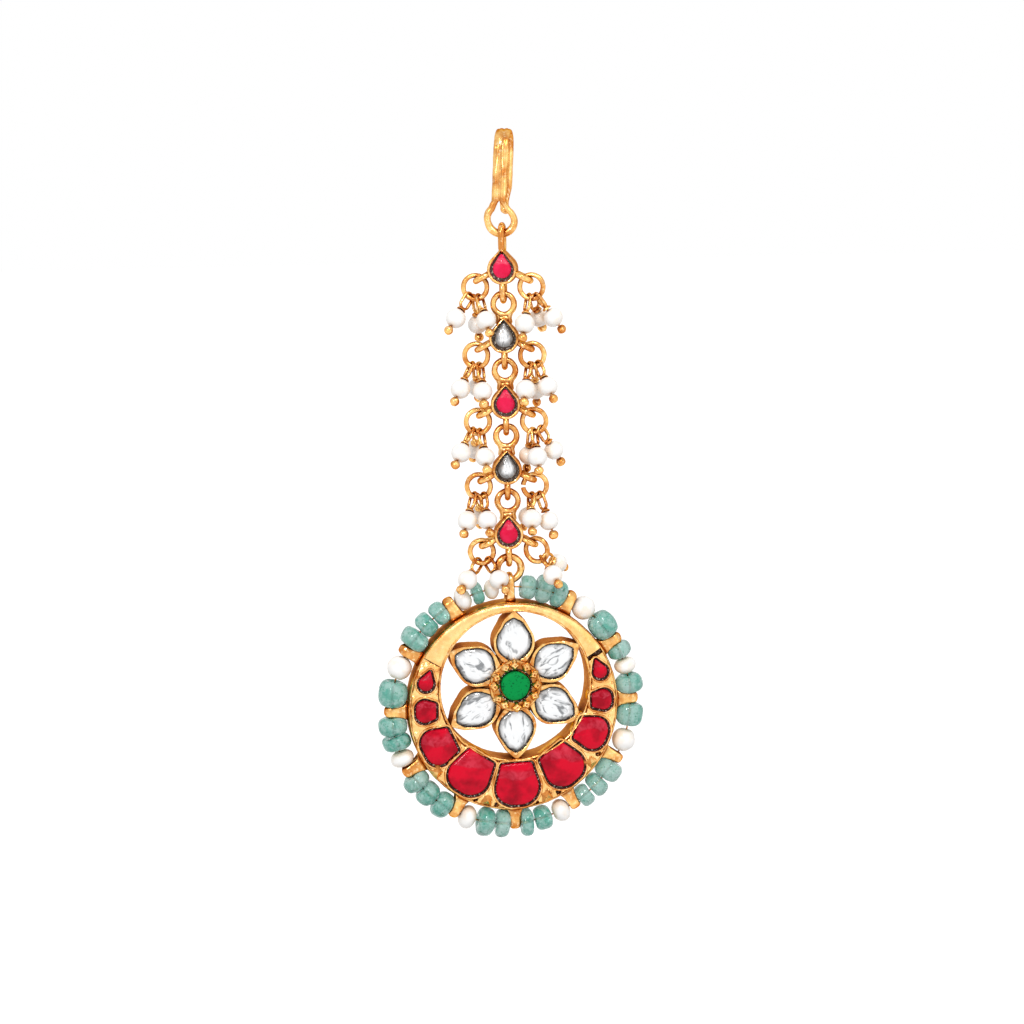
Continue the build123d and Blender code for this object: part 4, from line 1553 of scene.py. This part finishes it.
    # a boss of the collar: share of its width and height, with a hollow in its tip
    BOSS = ((0.0, -1.0), (1.0, -1.0), (1.0, -0.3), (0.93, 0.1), (0.74, 0.52), (0.52, 0.86), (0.36, 1.0),
            (0.24, 0.96), (0.12, 0.72), (0.0, 0.66))
    # a petal's stone: growth of its outline, height, share of the way out and depth into the stone
    PETAL_STEPS = ((0.02, 1.0, 1.0, 0), (0.02, 1.5, 1.0, 0), (-0.12, 1.7, 1.0, 0.07), (-0.16, 1.82, 0.88, 0.2),
                   (-0.16, 1.9, 0.76, 0.33), (-0.16, 1.93, 0.62, 0.47), (-0.16, 1.97, 0.48, 0.6),
                   (-0.16, 1.96, 0.34, 0.75), (-0.16, 1.98, 0.18, 0.9))
    # the green centre: share of its width and height
    CENTRE = ((0.97, 1.0), (0.97, 2.2), (0.94, 2.42), (0.88, 2.52), (0.6, 2.56), (0.25, 2.57))

    def __post_init__(self) -> None:
        """Finds the disc's and the flower's places and the settings."""
        pivot = Place.facing((self.axis[0], self.axis[1], self.pivot_height), self.yaw)
        self.disc = pivot.on((0, -self.pivot_to_centre, 0), (1, 0, 0), (0, 0, 1))
        self.flower = self.disc.on((*self.opening_at, 0), (1, 0, 0), (0, 0, 1))
        self.settings = [Setting(name, angle, distance, self._arch(width, height), False)
                         for name, angle, distance, width, height in self.rubies]
        for angle, distance, width, height, tip in self.small_stones:
            rounds = [(-tip * (height - width) / 2, 0, width / 2), (tip * (height / 2 - 0.25), 0, 0.25)] \
                if tip else self._arch(width, height)
            self.settings.append(Setting("small_rubies", angle, distance, rounds, True))

    @staticmethod
    def _arch(width: float, height: float) -> Rounds:
        """Circles round which an arched stone is drawn: a round outer end and a narrower foot.

        Args:
            width: the stone's width.
            height: its height.

        Returns:
            The circles.
        """
        shoulder, corner = 0.42 * min(width, height), 0.5
        wide, high = width / 2 - shoulder, height / 2 - shoulder
        foot_x, foot_y = 0.74 * width / 2 - corner, corner - height / 2
        return [(-wide, high, shoulder), (wide, high, shoulder), (foot_x, foot_y, corner),
                (-foot_x, foot_y, corner)]

    def _setting_place(self, angle: float, distance: float) -> Place:
        """Place in the crescent, y outwards and z to the front."""
        return self.disc.on((*polar(distance, angle), 0), (*polar(1, angle - 90), 0), (0, 0, 1))

    def _petal_place(self, index: int) -> Place:
        """Place of a petal, x along it and z to the front."""
        return self.flower.on((0, 0, 0), (*polar(1, 90 + 60 * index), 0), (0, 0, 1))

    def _inner(self, angle: float) -> float:
        """Distance from the disc's middle to the opening's edge."""
        way, centre = np.array(polar(1, angle)), np.array(self.opening_at)
        along, aside = centre @ way, centre[0] * way[1] - centre[1] * way[0]
        return along + math.sqrt(self.opening ** 2 - aside ** 2)

    @staticmethod
    def _section(place: Place, angle: float, profile: Sequence[tuple[float, float]]) -> np.ndarray:
        """Section of a round piece at an angle, from distances out and heights."""
        way = np.array(polar(1, angle))
        return place.out([(*(way * reach), height) for reach, height in profile])

    def _gold(self, shell: Shell, name: str, edge: float = 38.0) -> None:
        """Makes a gold piece of the pendant's frame."""
        finish_piece(shell.mesh(name), name, PENDANT, ["pendant_frame"], self.shop.finishes.golds,
                     edge)

    def build_crescent(self) -> None:
        """Builds the plate with its thin rims, and the strewn granules on its floor."""
        shell = Shell()
        rings, steps, across = [], 720, 10
        for index in range(steps):
            angle = 360 * index / steps
            inner, outer = self._inner(angle), self.radius
            low, high = inner + 0.6, outer - 0.5
            profile = [(outer - 0.16, self.back), (outer - 0.03, self.back + 0.16), (outer, -0.6), (outer, 1.0),
                       (outer - 0.02, 1.8), (outer - 0.14, 1.98), (outer - 0.28, 1.95), (outer - 0.38, 1.75)]
            profile += [(high + (low - high) * share, self.floor) for share in np.linspace(0, 1, across)]
            profile += [(inner + 0.46, 1.95), (inner + 0.4, 2.2), (inner + 0.24, 2.32), (inner + 0.08, 2.24),
                        (inner, 2.05), (inner, 1.2), (inner, -0.5), (inner, self.back + 0.18),
                        (inner + 0.14, self.back), ((inner + outer) / 2, self.back)]
            rings.append(self._section(self.disc, angle, profile))
        shell.loft(rings, joined=True)
        walls = 8 + across
        columns = len(rings[0])
        for number, face in enumerate(shell.faces):
            column, angle = number % columns, 360 * (number // columns) / steps
            # Painted light on the plate: side walls take satin gold's painted shade, the open floor the open
            # gold's painted light, the floor by the strip's ends the dark painted shade.
            if walls + 4 <= column < walls + 8 or column < 3:
                shell.tones[number] = Tone.SATIN_SHADED.value
            elif 8 <= column < walls:
                near = -0.3 < angle - self.strip_to < 2 or -4 < angle - self.strip_from < 0.3
                shell.tones[number] = Tone.HOLLOW_SHADE.value if near else Tone.OPEN_LIT.value
        shell.uneven((0.05, 2.2, 31.0), (0.03, 0.5, 33.0))
        self._gold(shell, "crescent_plate")

        surface = self._filling()
        floor = Shell()
        floor.ball((0, 0, 0), 1.0, steps=5)
        self.shop.keep("granule", floor)
        # The granules take the open gold, paler by painted light.
        grains = self.shop.granules.run(surface, {
            "Part": self.shop.parts["granule"], "Density": 1.5, "Least": 0.1, "Most": 0.22,
            "Unevenness": 0.1, "Grain": 0.4, "Seed": 5, "Finish": self.shop.finishes.open})
        finish_piece(grains, "crescent_granules", PENDANT, ["pendant_frame"],
                     [self.shop.finishes.open], 80)

    def _apart(self, spots: np.ndarray) -> np.ndarray:
        """How far spots of the disc's plane lie from the nearest setting's wall.

        Args:
            spots: the spots.

        Returns:
            Distances, below 0 for spots within a wall.
        """
        least = np.full(len(spots), 9.0)
        for setting in self.settings:
            line = Outline(setting.rounds, 60).ring(self.setting_wall, 0)[:, :2]
            across, out = np.array(polar(1, setting.angle - 90)), np.array(polar(1, setting.angle))
            start = out * setting.distance + line[:, :1] * across + line[:, 1:] * out
            end = np.roll(start, -1, axis=0)
            near = np.linalg.norm(spots - out * setting.distance, axis=1) < 7
            way, gap = end - start, spots[near][:, None, :] - start
            share = np.clip((gap * way).sum(2) / (way * way).sum(1), 0, 1)
            far = np.linalg.norm(gap - share[..., None] * way, axis=2).min(axis=1)
            level = (start[:, 1] > spots[near][:, 1:]) != (end[:, 1] > spots[near][:, 1:])
            meets = gap[..., 0] < way[:, 0] * gap[..., 1] / np.where(way[:, 1] == 0, 1e-9, way[:, 1])
            inside = (level & meets).sum(axis=1) % 2 == 1
            least[near] = np.minimum(least[near], np.where(inside, -far, far))
        return least

    def _filling(self) -> bpy.types.Mesh:
        """Builds the gold worked up between the settings.

        Returns:
            Its open ground, for the granules.
        """
        angles, across = np.linspace(self.strip_to + 0.5, 360 + self.strip_from - 3.0, 520), 50
        reaches = [np.linspace(self._inner(angle) + 0.3, self.radius - 0.22, across) for angle in angles]
        flat = np.array([np.outer(reach, polar(1, angle)) for reach, angle in zip(reaches, angles)])
        apart = self._apart(flat.reshape(-1, 2)).reshape(flat.shape[:2])
        height = np.interp(apart, [-0.45, -0.22, 0.0, 0.2, 0.9, 2.0], [1.2, 2.2, 2.34, 2.3, 1.98, 1.88])
        edge = np.minimum(np.arange(across), np.arange(across)[::-1]) * 0.15
        height = np.minimum(height, np.interp(edge, [0, 0.15, 0.45], [1.75, 1.95, 2.3]))
        for angle, distance in self.piercings:
            hole = np.linalg.norm(flat - np.array(polar(distance, angle)), axis=2)
            height = np.minimum(height, np.interp(hole, [0.34, 0.52], [1.4, 3.0]))
        shell, rings = Shell(), []
        for line, tops in zip(flat, height):
            under = [(*line[-1], 1.1), (*line[0], 1.1)]
            rings.append(self.disc.out([*((*spot, top) for spot, top in zip(line, tops)), *under]))
        # The filling takes the open gold, paler by painted light.
        shell.loft(rings, Tone.OPEN_LIT)
        shell.uneven((0.06, 0.9, 171.0), (0.04, 0.3, 173.0))
        self._gold(shell, "crescent_filling", 60)
        points = self.disc.out(np.dstack([flat, height]).reshape(-1, 3))
        faces = [[r * across + c, r * across + c + 1, (r + 1) * across + c + 1, (r + 1) * across + c]
                 for r in range(len(flat) - 1) for c in range(4, across - 4) if apart[r, c] > 0.25]
        surface = bpy.data.meshes.new("open_ground")
        surface.from_pydata(points.tolist(), [], faces)
        return surface

    def build_strip(self) -> None:
        """Builds the plain domed strip over the top of the opening."""
        shell = Shell()
        rings = []
        for angle in np.linspace(self.strip_from, self.strip_to, 180):
            inner, outer = self._inner(angle) - 0.02, self.radius - 0.3
            profile = [(inner, 0.6), (inner, 2.0)]
            for share in np.linspace(0, 1, 14):
                lift = math.sin(math.pi * (0.1 + 0.8 * share)) ** 0.6
                profile.append((inner + (outer - inner) * share, 2.02 + 0.5 * (lift - 0.45)))
            profile += [(outer, 1.9), (outer, 0.6)]
            rings.append(self._section(self.disc, angle, profile))
        # The strip takes the open gold, paler by painted light.
        shell.loft(rings, Tone.OPEN_LIT)
        shell.uneven((0.05, 1.8, 41.0), (0.02, 0.4, 42.0))
        self._gold(shell, "top_strip", 50)

    def build_settings(self) -> None:
        """Builds the walls round the crescent's stones, and the pyramids between them."""
        shell = Shell()
        for index, setting in enumerate(self.settings):
            place = self._setting_place(setting.angle, setting.distance)
            line = Outline(setting.rounds, 120 if not setting.small else 72)
            wall = self.setting_wall
            rings = [(wall, 0.9), (wall, 2.0), (wall - 0.07, 2.24), (wall - 0.2, 2.37), (wall - 0.36, 2.36),
                     (0.16, 2.26), (0.09, 2.1), (0.07, 1.9), (-0.15, 1.82), (-0.5, 1.8)]
            # Walls in bright gold; the groove between wall and stone in the dark painted shade.
            tones = [Tone.BRIGHT] * 5 + [Tone.HOLLOW_SHADE] * 4
            shell.worked([place.out(line.ring(grow, height)) for grow, height in rings], tones,
                         (0.035, 1.2, 50.0 + index), (0.045, 0.28, 60.0 + index))
        corners = self.pyramid_half * np.array([(-1, -1), (1, -1), (1, 1), (-1, 1)])
        shares = np.linspace(0, 1, 6)
        square = np.concatenate([corners[side] + (corners[(side + 1) % 4] - corners[side]) * shares[:-1, None]
                                 for side in range(4)])
        for index, (angle, distance) in enumerate(self.pyramids):
            place = self._setting_place(angle, distance)
            start = len(shell.tones)
            shell.worked([place.out(raised(square * shrink, height)) for shrink, height in self.PYRAMID],
                         Tone.OPEN_LIT, (0.05, 0.7, 70.0 + index))
            # Painted light: two sides of each pyramid take satin gold's painted shade, the other two the open
            # gold's painted light.
            for number in range(start, len(shell.tones)):
                if (number - start) % len(square) < len(square) / 2:
                    shell.tones[number] = Tone.SATIN_SHADED.value
        # Each piercing gets a flat dark disc inside it: painted shade in the hole.
        for angle, distance in self.piercings:
            shell.ball((0, 0, 1.42), (0.52, 0.46, 0.16), self._setting_place(angle, distance), 8,
                       tone=Tone.HOLLOW_SHADE)
        self._gold(shell, "stone_settings", 34)

    def build_flower(self) -> None:
        """Builds the six petal cups, and the collar with its bosses."""
        shell = Shell()
        outer, inner = Outline(self.petal_rounds, 132, 180), Outline(self.petal_stone, 132, 180)
        # Outside walls in satin gold with painted shade, the rim bright, the groove inside in dark painted
        # shade.
        tones = [Tone.SATIN_SHADED] * 5 + [Tone.BRIGHT] * 4 + [Tone.HOLLOW_SHADE] * 3
        for index in range(6):
            place = self._petal_place(index)
            rings = [outer.ring(*step) for step in self.CUP_OUTSIDE]
            rings += [inner.ring(*step) for step in self.CUP_INSIDE]
            shell.worked([place.out(ring) for ring in rings], tones,
                         (0.04, 1.5, 80.0 + index), (0.025, 0.35, 90.0 + index))
        self._gold(shell, "flower_cups")

        collar = Shell()
        profile = [(reach, height) for reach, height, tone in self.COLLAR]
        collar.loft([self._section(self.flower, 360 * index / self.collar_steps, profile)
                     for index in range(self.collar_steps)], joined=True)
        collar.tones = [tone.value for reach, height, tone in self.COLLAR] * self.collar_steps
        collar.uneven((0.03, 0.7, 101.0))
        boss = Shell()
        corners = [1 + 0.16 * math.cos(math.pi * index / 2) for index in range(16)]
        boss.loft([np.array([(*polar(max(reach, 0.01) * corner, 22.5 * index), height)
                             for index, corner in enumerate(corners)]) for reach, height in self.BOSS])
        self.shop.keep("boss", boss)
        bosses = []
        for index in range(self.collar_bosses):
            way = np.array(polar(1, 360 / self.collar_bosses * index + 2.5 * math.sin(2.9 * index)))
            at = self.flower.out([(*(way * 3.47), 2.4)])[0]
            wide = 0.78 + 0.05 * math.sin(4.3 * index)
            bosses.append(Copy(at, self.flower.z, self.flower.way((*way, 0.0)), (0.78, wide, 0.72)))
        mesh = self.shop.copy("boss", bosses, self.shop.finishes.open, 0.1, 0.5, 7)
        # The bosses take the open gold, paler by painted light.
        mesh.polygons.foreach_set("material_index", [Tone.OPEN_LIT.value] * len(mesh.polygons))
        finish_piece(joined([collar.mesh("collar"), mesh], "flower_collar"), "flower_collar", PENDANT,
                     ["pendant_frame"], self.shop.finishes.golds)

    def build_ears(self) -> None:
        """Builds the thread's ears and the taller bail."""
        root = self.radius - 0.45
        ear = Shell()
        length, half = self.ear_reach - root, self.ear_band / 2
        path = slot_path(length - self.ear_thickness, self.ear_depth - self.ear_thickness, 22)
        end = path[:, 0].max()
        stops = [-end, 0.5 - end, 1.4 - end, 0, end - 1.1, end - 0.65, end - 0.3, end - 0.1, end]
        thick = half * np.interp(path[:, 0], stops, [2.5, 1.9, 1.25, 1.1, 1.25, 1.36, 1.28, 1.05, 0.78])
        ear.tube(path, (0, 0, 1), self.ear_thickness / 2, thick, sides=16)
        blocky = ear.points[0]
        middle = path.repeat(16, 0)
        thick = thick.repeat(16)
        share = (blocky[:, 2] - middle[:, 2]) / thick
        blocky[:, 2] = middle[:, 2] + thick * np.sign(share) * np.abs(share) ** 0.62
        self.shop.keep("ear", ear)
        copies = []
        for index in range(1, self.ears):
            angle = 90 + 360 / self.ears * index
            place = self.disc.on((*polar((root + self.ear_reach) / 2, angle), 0), (*polar(1, angle), 0),
                                 (*polar(1, angle + 90), 0))
            copies.append(Copy(place.origin, place.z, place.x, (1, 1, 1 + 0.06 * math.sin(2.2 * index))))
        mesh = self.shop.copy("ear", copies, self.shop.finishes.gold, 0.14, 0.9, 8)
        finish_piece(mesh, "thread_ears", PENDANT, ["pendant_frame"], [self.shop.finishes.gold])

        bail = Shell()
        length = self.bail_reach - root
        place = self.disc.on((*polar((root + self.bail_reach) / 2, 90), 0), (0, 1, 0), (*polar(1, 180), 0))
        path = slot_path(length - self.ear_thickness, self.bail_depth - self.ear_thickness, 24)
        stops = [-length / 2, -length / 5, length / 3, length / 2]
        half = np.interp(path[:, 0], stops, [0.98, 0.6, 0.6, 0.34])
        bail.tube(place.out(path), place.z, self.ear_thickness / 2, half, sides=16)
        bail.uneven((0.04, 0.7, 111.0))
        self._gold(bail, "pendant_bail")

    def build_stones(self) -> None:
        """Builds the red stones, the petals' flat-cut stones and the green centre."""
        kinds = self.shop.finishes
        smalls = Shell()
        for index, setting in enumerate(self.settings):
            place = self._setting_place(setting.angle, setting.distance)
            line = Outline(setting.rounds, 120 if not setting.small else 72)
            top = self.stone_front if not setting.small else self.stone_front - 0.12
            rings = [line.ring(-0.18, 1.0), line.ring(-0.16, 2.0)]
            rings += [line.ring(-0.2, 2.2 + rise * (top - 2.27), shrink) for shrink, rise in self.DOME]
            shell = smalls if setting.small else Shell()
            skin = shell.worked([place.out(ring) for ring in rings], Tone.BRIGHT, (0.07, 2.6, 120.0 + index))
            # Measures for the painted reflection band across each red stone.
            shell.window(skin, index + 0.5)
            if not setting.small:
                finish_piece(shell.mesh(setting.node), f"{setting.node}_stone", PENDANT,
                             [setting.node], [kinds.ruby])
        finish_piece(smalls.mesh("small_rubies"), "small_red_stones", PENDANT, ["small_rubies"],
                     [kinds.ruby])

        petals, line = Shell(), Outline(self.petal_stone, 72, 180)
        for index in range(6):
            place = self._petal_place(index)
            flat = [line.ring(grow, height, shrink) for grow, height, shrink, depth in self.PETAL_STEPS]
            petals.worked([place.out(ring) for ring in flat], Tone.BRIGHT, (0.05, 0.8, 140.0 + index))
            # Measures for the stones' painted reflection streaks and painted edge shade.
            petals.cut(flat, [step[3] for step in self.PETAL_STEPS], index + 1, 0, 3.6)
        finish_piece(petals.mesh("petal_stones"), "petal_white_stones", PENDANT, ["petal_stones"],
                     [kinds.polki])

        green = Shell()
        turn = 2 * math.pi * np.arange(64) / 64
        wobble = self.emerald_radius * (1 + 0.018 * np.sin(3 * turn + 0.6) + 0.012 * np.sin(5 * turn))
        edge = np.column_stack([wobble * np.cos(turn), wobble * np.sin(turn)])
        green.worked([self.flower.out(raised(edge * shrink, height)) for shrink, height in self.CENTRE],
                     Tone.BRIGHT, (0.02, 0.8, 131.0))
        finish_piece(green.mesh("centre_emerald"), "centre_green_stone", PENDANT,
                     ["centre_emerald"], [kinds.emerald])

    def build_rim(self) -> None:
        """Builds the thread with its green beads and pearls."""
        kinds = self.shop.finishes
        thread = self.disc.on((0, -self.thread_drop, 0), (1, 0, 0), (0, 0, 1))
        circle = thread.out(arc((0, 0), self.thread_radius, 0, 360, 240))
        mesh = self.shop.wire(circle, 0.65 * self.thread_wire / 2, True, 0.03, 1.0, 9)
        finish_piece(mesh, "bead_thread", PENDANT, ["bead_wire"], [kinds.gold])
        bead = Shell()
        around = 2 * math.pi * np.arange(22) / 22
        reach = 0.53 + 0.47 * np.sign(np.cos(around)) * np.abs(np.cos(around)) ** 0.95
        lift = np.sign(np.sin(around)) * np.abs(np.sin(around)) ** 0.78
        bead.loft([np.column_stack([reach * math.cos(turn), reach * math.sin(turn), lift])
                   for turn in 2 * math.pi * np.arange(40) / 40], joined=True)
        self.shop.keep("bead", bead)
        pearls, count, span = [], 0, 360 / self.ears
        for first, beads in self.rim:
            start = self.ear_band / 2 + self.bead_play
            end = math.radians(span) * self.thread_radius - start
            start += self.bail_clear if first == 90 else 0.0
            end -= self.bail_clear if first + span == 90 else 0.0
            room = end - start - self.bead_play * (len(beads) - 1)
            total = sum(along for kind, across, along in beads)
            fit = min(1.0, room / total)
            spare = (room - fit * total) / len(beads)
            position = start
            for kind, across, along in beads:
                length = fit * along
                position += spare / 2 + length / 2
                angle = first + math.degrees(position / self.thread_radius)
                position += spare / 2 + length / 2 + self.bead_play
                on_thread = self.thread_radius - self.thread_drop * math.sin(math.radians(angle))
                distance = max(on_thread, self.radius + across / 2 + 0.1)
                place = self.disc.on((*polar(distance, angle), 0), (*polar(1, angle), 0),
                                     (*polar(1, angle - 90), 0))
                copy = Copy(place.origin, place.z, place.x, (across / 2, across / 2, length / 2))
                if kind == "pearl":
                    pearls.append(copy)
                    continue
                count += 1
                mesh = self.shop.copy("bead", [copy], kinds.green, 0.5, 2.4, count)
                finish_piece(mesh, f"bead_{count:02d}", PENDANT, [f"green_bead_{count:02d}"],
                             [kinds.green], 60)
        mesh = self.shop.copy("pearl", pearls, kinds.pearl, 0.3, 2.0, 10)
        finish_piece(mesh, "rim_pearl_beads", PENDANT, ["rim_pearls"], [kinds.pearl])

    def build(self) -> None:
        """Builds everything of the pendant."""
        self.build_crescent()
        self.build_strip()
        self.build_settings()
        self.build_flower()
        self.build_ears()
        self.build_stones()
        self.build_rim()


# ---- Studio -------------------------------------------------------------------------------
@dataclass
class Studio:
    """Plain pale floor, white surroundings, soft lamps and the camera."""

    aim: tuple[float, float, float] = (-0.65, -3.0, -59.25)
    distance: float = 349.0
    elevation: float = 9.0
    lens: float = 77.0
    roll: float = 1.2
    floor_height: float = -150.0
    floor_side: float = 3.0
    floor_grey: Colour = (0.3, 0.3, 0.3)
    floor_glow: tuple[float, float] = (0.3, 0.93)
    ambient: float = 0.75
    lamps: tuple[tuple[str, tuple[float, float, float], float, float], ...] = (
        ("key", (-170, -380, 120), 80.0, 0.5), ("fill", (230, -220, -20), 220.0, 0.08),
        ("high", (100, -250, 220), 120.0, 0.45))

    def camera(self) -> None:
        """Sets the camera up."""
        data = bpy.data.cameras.new("camera")
        data.lens, data.clip_start = self.lens, 0.01
        camera = linked("camera", data)
        aim, tilt = Vector(self.aim) * MM, math.radians(self.elevation)
        camera.location = aim + Vector((0, -math.cos(tilt), math.sin(tilt))) * self.distance * MM
        look = (aim - camera.location).to_track_quat("-Z", "Y")
        camera.rotation_mode = "QUATERNION"
        camera.rotation_quaternion = look @ Quaternion((0, 0, 1), math.radians(-self.roll))
        bpy.context.scene.camera = camera

    @staticmethod
    def _seen(tree: Nodes, unseen: float, seen: float) -> bpy.types.NodeSocket:
        """Strength that is one value where the camera, gloss or glass sees it, and another for other light.

        Args:
            tree: the tree that it is for.
            unseen: strength as a light.
            seen: strength as a sight.

        Returns:
            A socket with the strength.
        """
        rays = tree.add("ShaderNodeLightPath").outputs
        level = tree.maths("MAXIMUM", rays["Is Camera Ray"], rays["Is Glossy Ray"])
        level = tree.maths("MAXIMUM", level, rays["Is Transmission Ray"])
        return tree.add("ShaderNodeMapRange", {"Value": level, "To Min": unseen, "To Max": seen}).outputs[0]

    def lights(self) -> None:
        """Sets up the lamps and the white surroundings."""
        for name, place, size, watts in self.lamps:
            data = bpy.data.lights.new(f"lamp_{name}", "AREA")
            data.shape, data.size, data.energy = "DISK", size * MM, watts
            lamp = linked(f"lamp_{name}", data)
            lamp.location = Vector(place) * MM
            towards = Vector((0, 0, -60)) * MM - lamp.location
            lamp.rotation_euler = towards.to_track_quat("-Z", "Y").to_euler()
        world = bpy.data.worlds.new("surroundings")
        bpy.context.scene.world = world
        world.use_nodes = True
        tree = Nodes(world.node_tree)
        background = tree.add("ShaderNodeBackground", {"Color": (1.0, 1.0, 1.0),
                                                       "Strength": self._seen(tree, self.ambient, 1.0)})
        tree.add("ShaderNodeOutputWorld", {0: background.outputs[0]})

    def floor(self) -> None:
        """Lays the pale floor, which keeps the ornament's shadow."""
        mesh = bpy.data.meshes.new("floor")
        corners = [(x * self.floor_side, y * self.floor_side, self.floor_height * MM)
                   for x, y in ((-1, -1), (1, -1), (1, 1), (-1, 1))]
        mesh.from_pydata(corners, [], [(0, 1, 2, 3)])
        linked("floor", mesh)
        material = bpy.data.materials.new("pale_floor")
        material.use_nodes = True
        tree = Nodes(material.node_tree)
        plain = tree.add("ShaderNodeBsdfDiffuse", {"Color": self.floor_grey})
        glow = tree.add("ShaderNodeEmission", {"Strength": self._seen(tree, *self.floor_glow)})
        both = tree.add("ShaderNodeAddShader", {0: plain.outputs[0], 1: glow.outputs[0]})
        tree.add("ShaderNodeOutputMaterial", {0: both.outputs[0]})
        mesh.materials.append(material)

    def build(self) -> None:
        """Sets up the whole studio."""
        self.camera()
        self.lights()
        self.floor()
        bpy.context.scene.view_settings.view_transform = "Standard"


def main() -> None:
    """Builds the ornament and its studio."""
    logging.basicConfig(level=logging.INFO, format="%(name)s %(message)s")
    noise.seed_set(UNEVEN_SEED)
    Studio().build()
    shop = Workshop(Finishes())
    hook = Hook(shop)
    hook.build()
    Chain(shop, hook.chain_point).build()
    Pendant(shop, hook.chain_point).build()
    shop.clear()


if __name__ == "__main__":
    main()
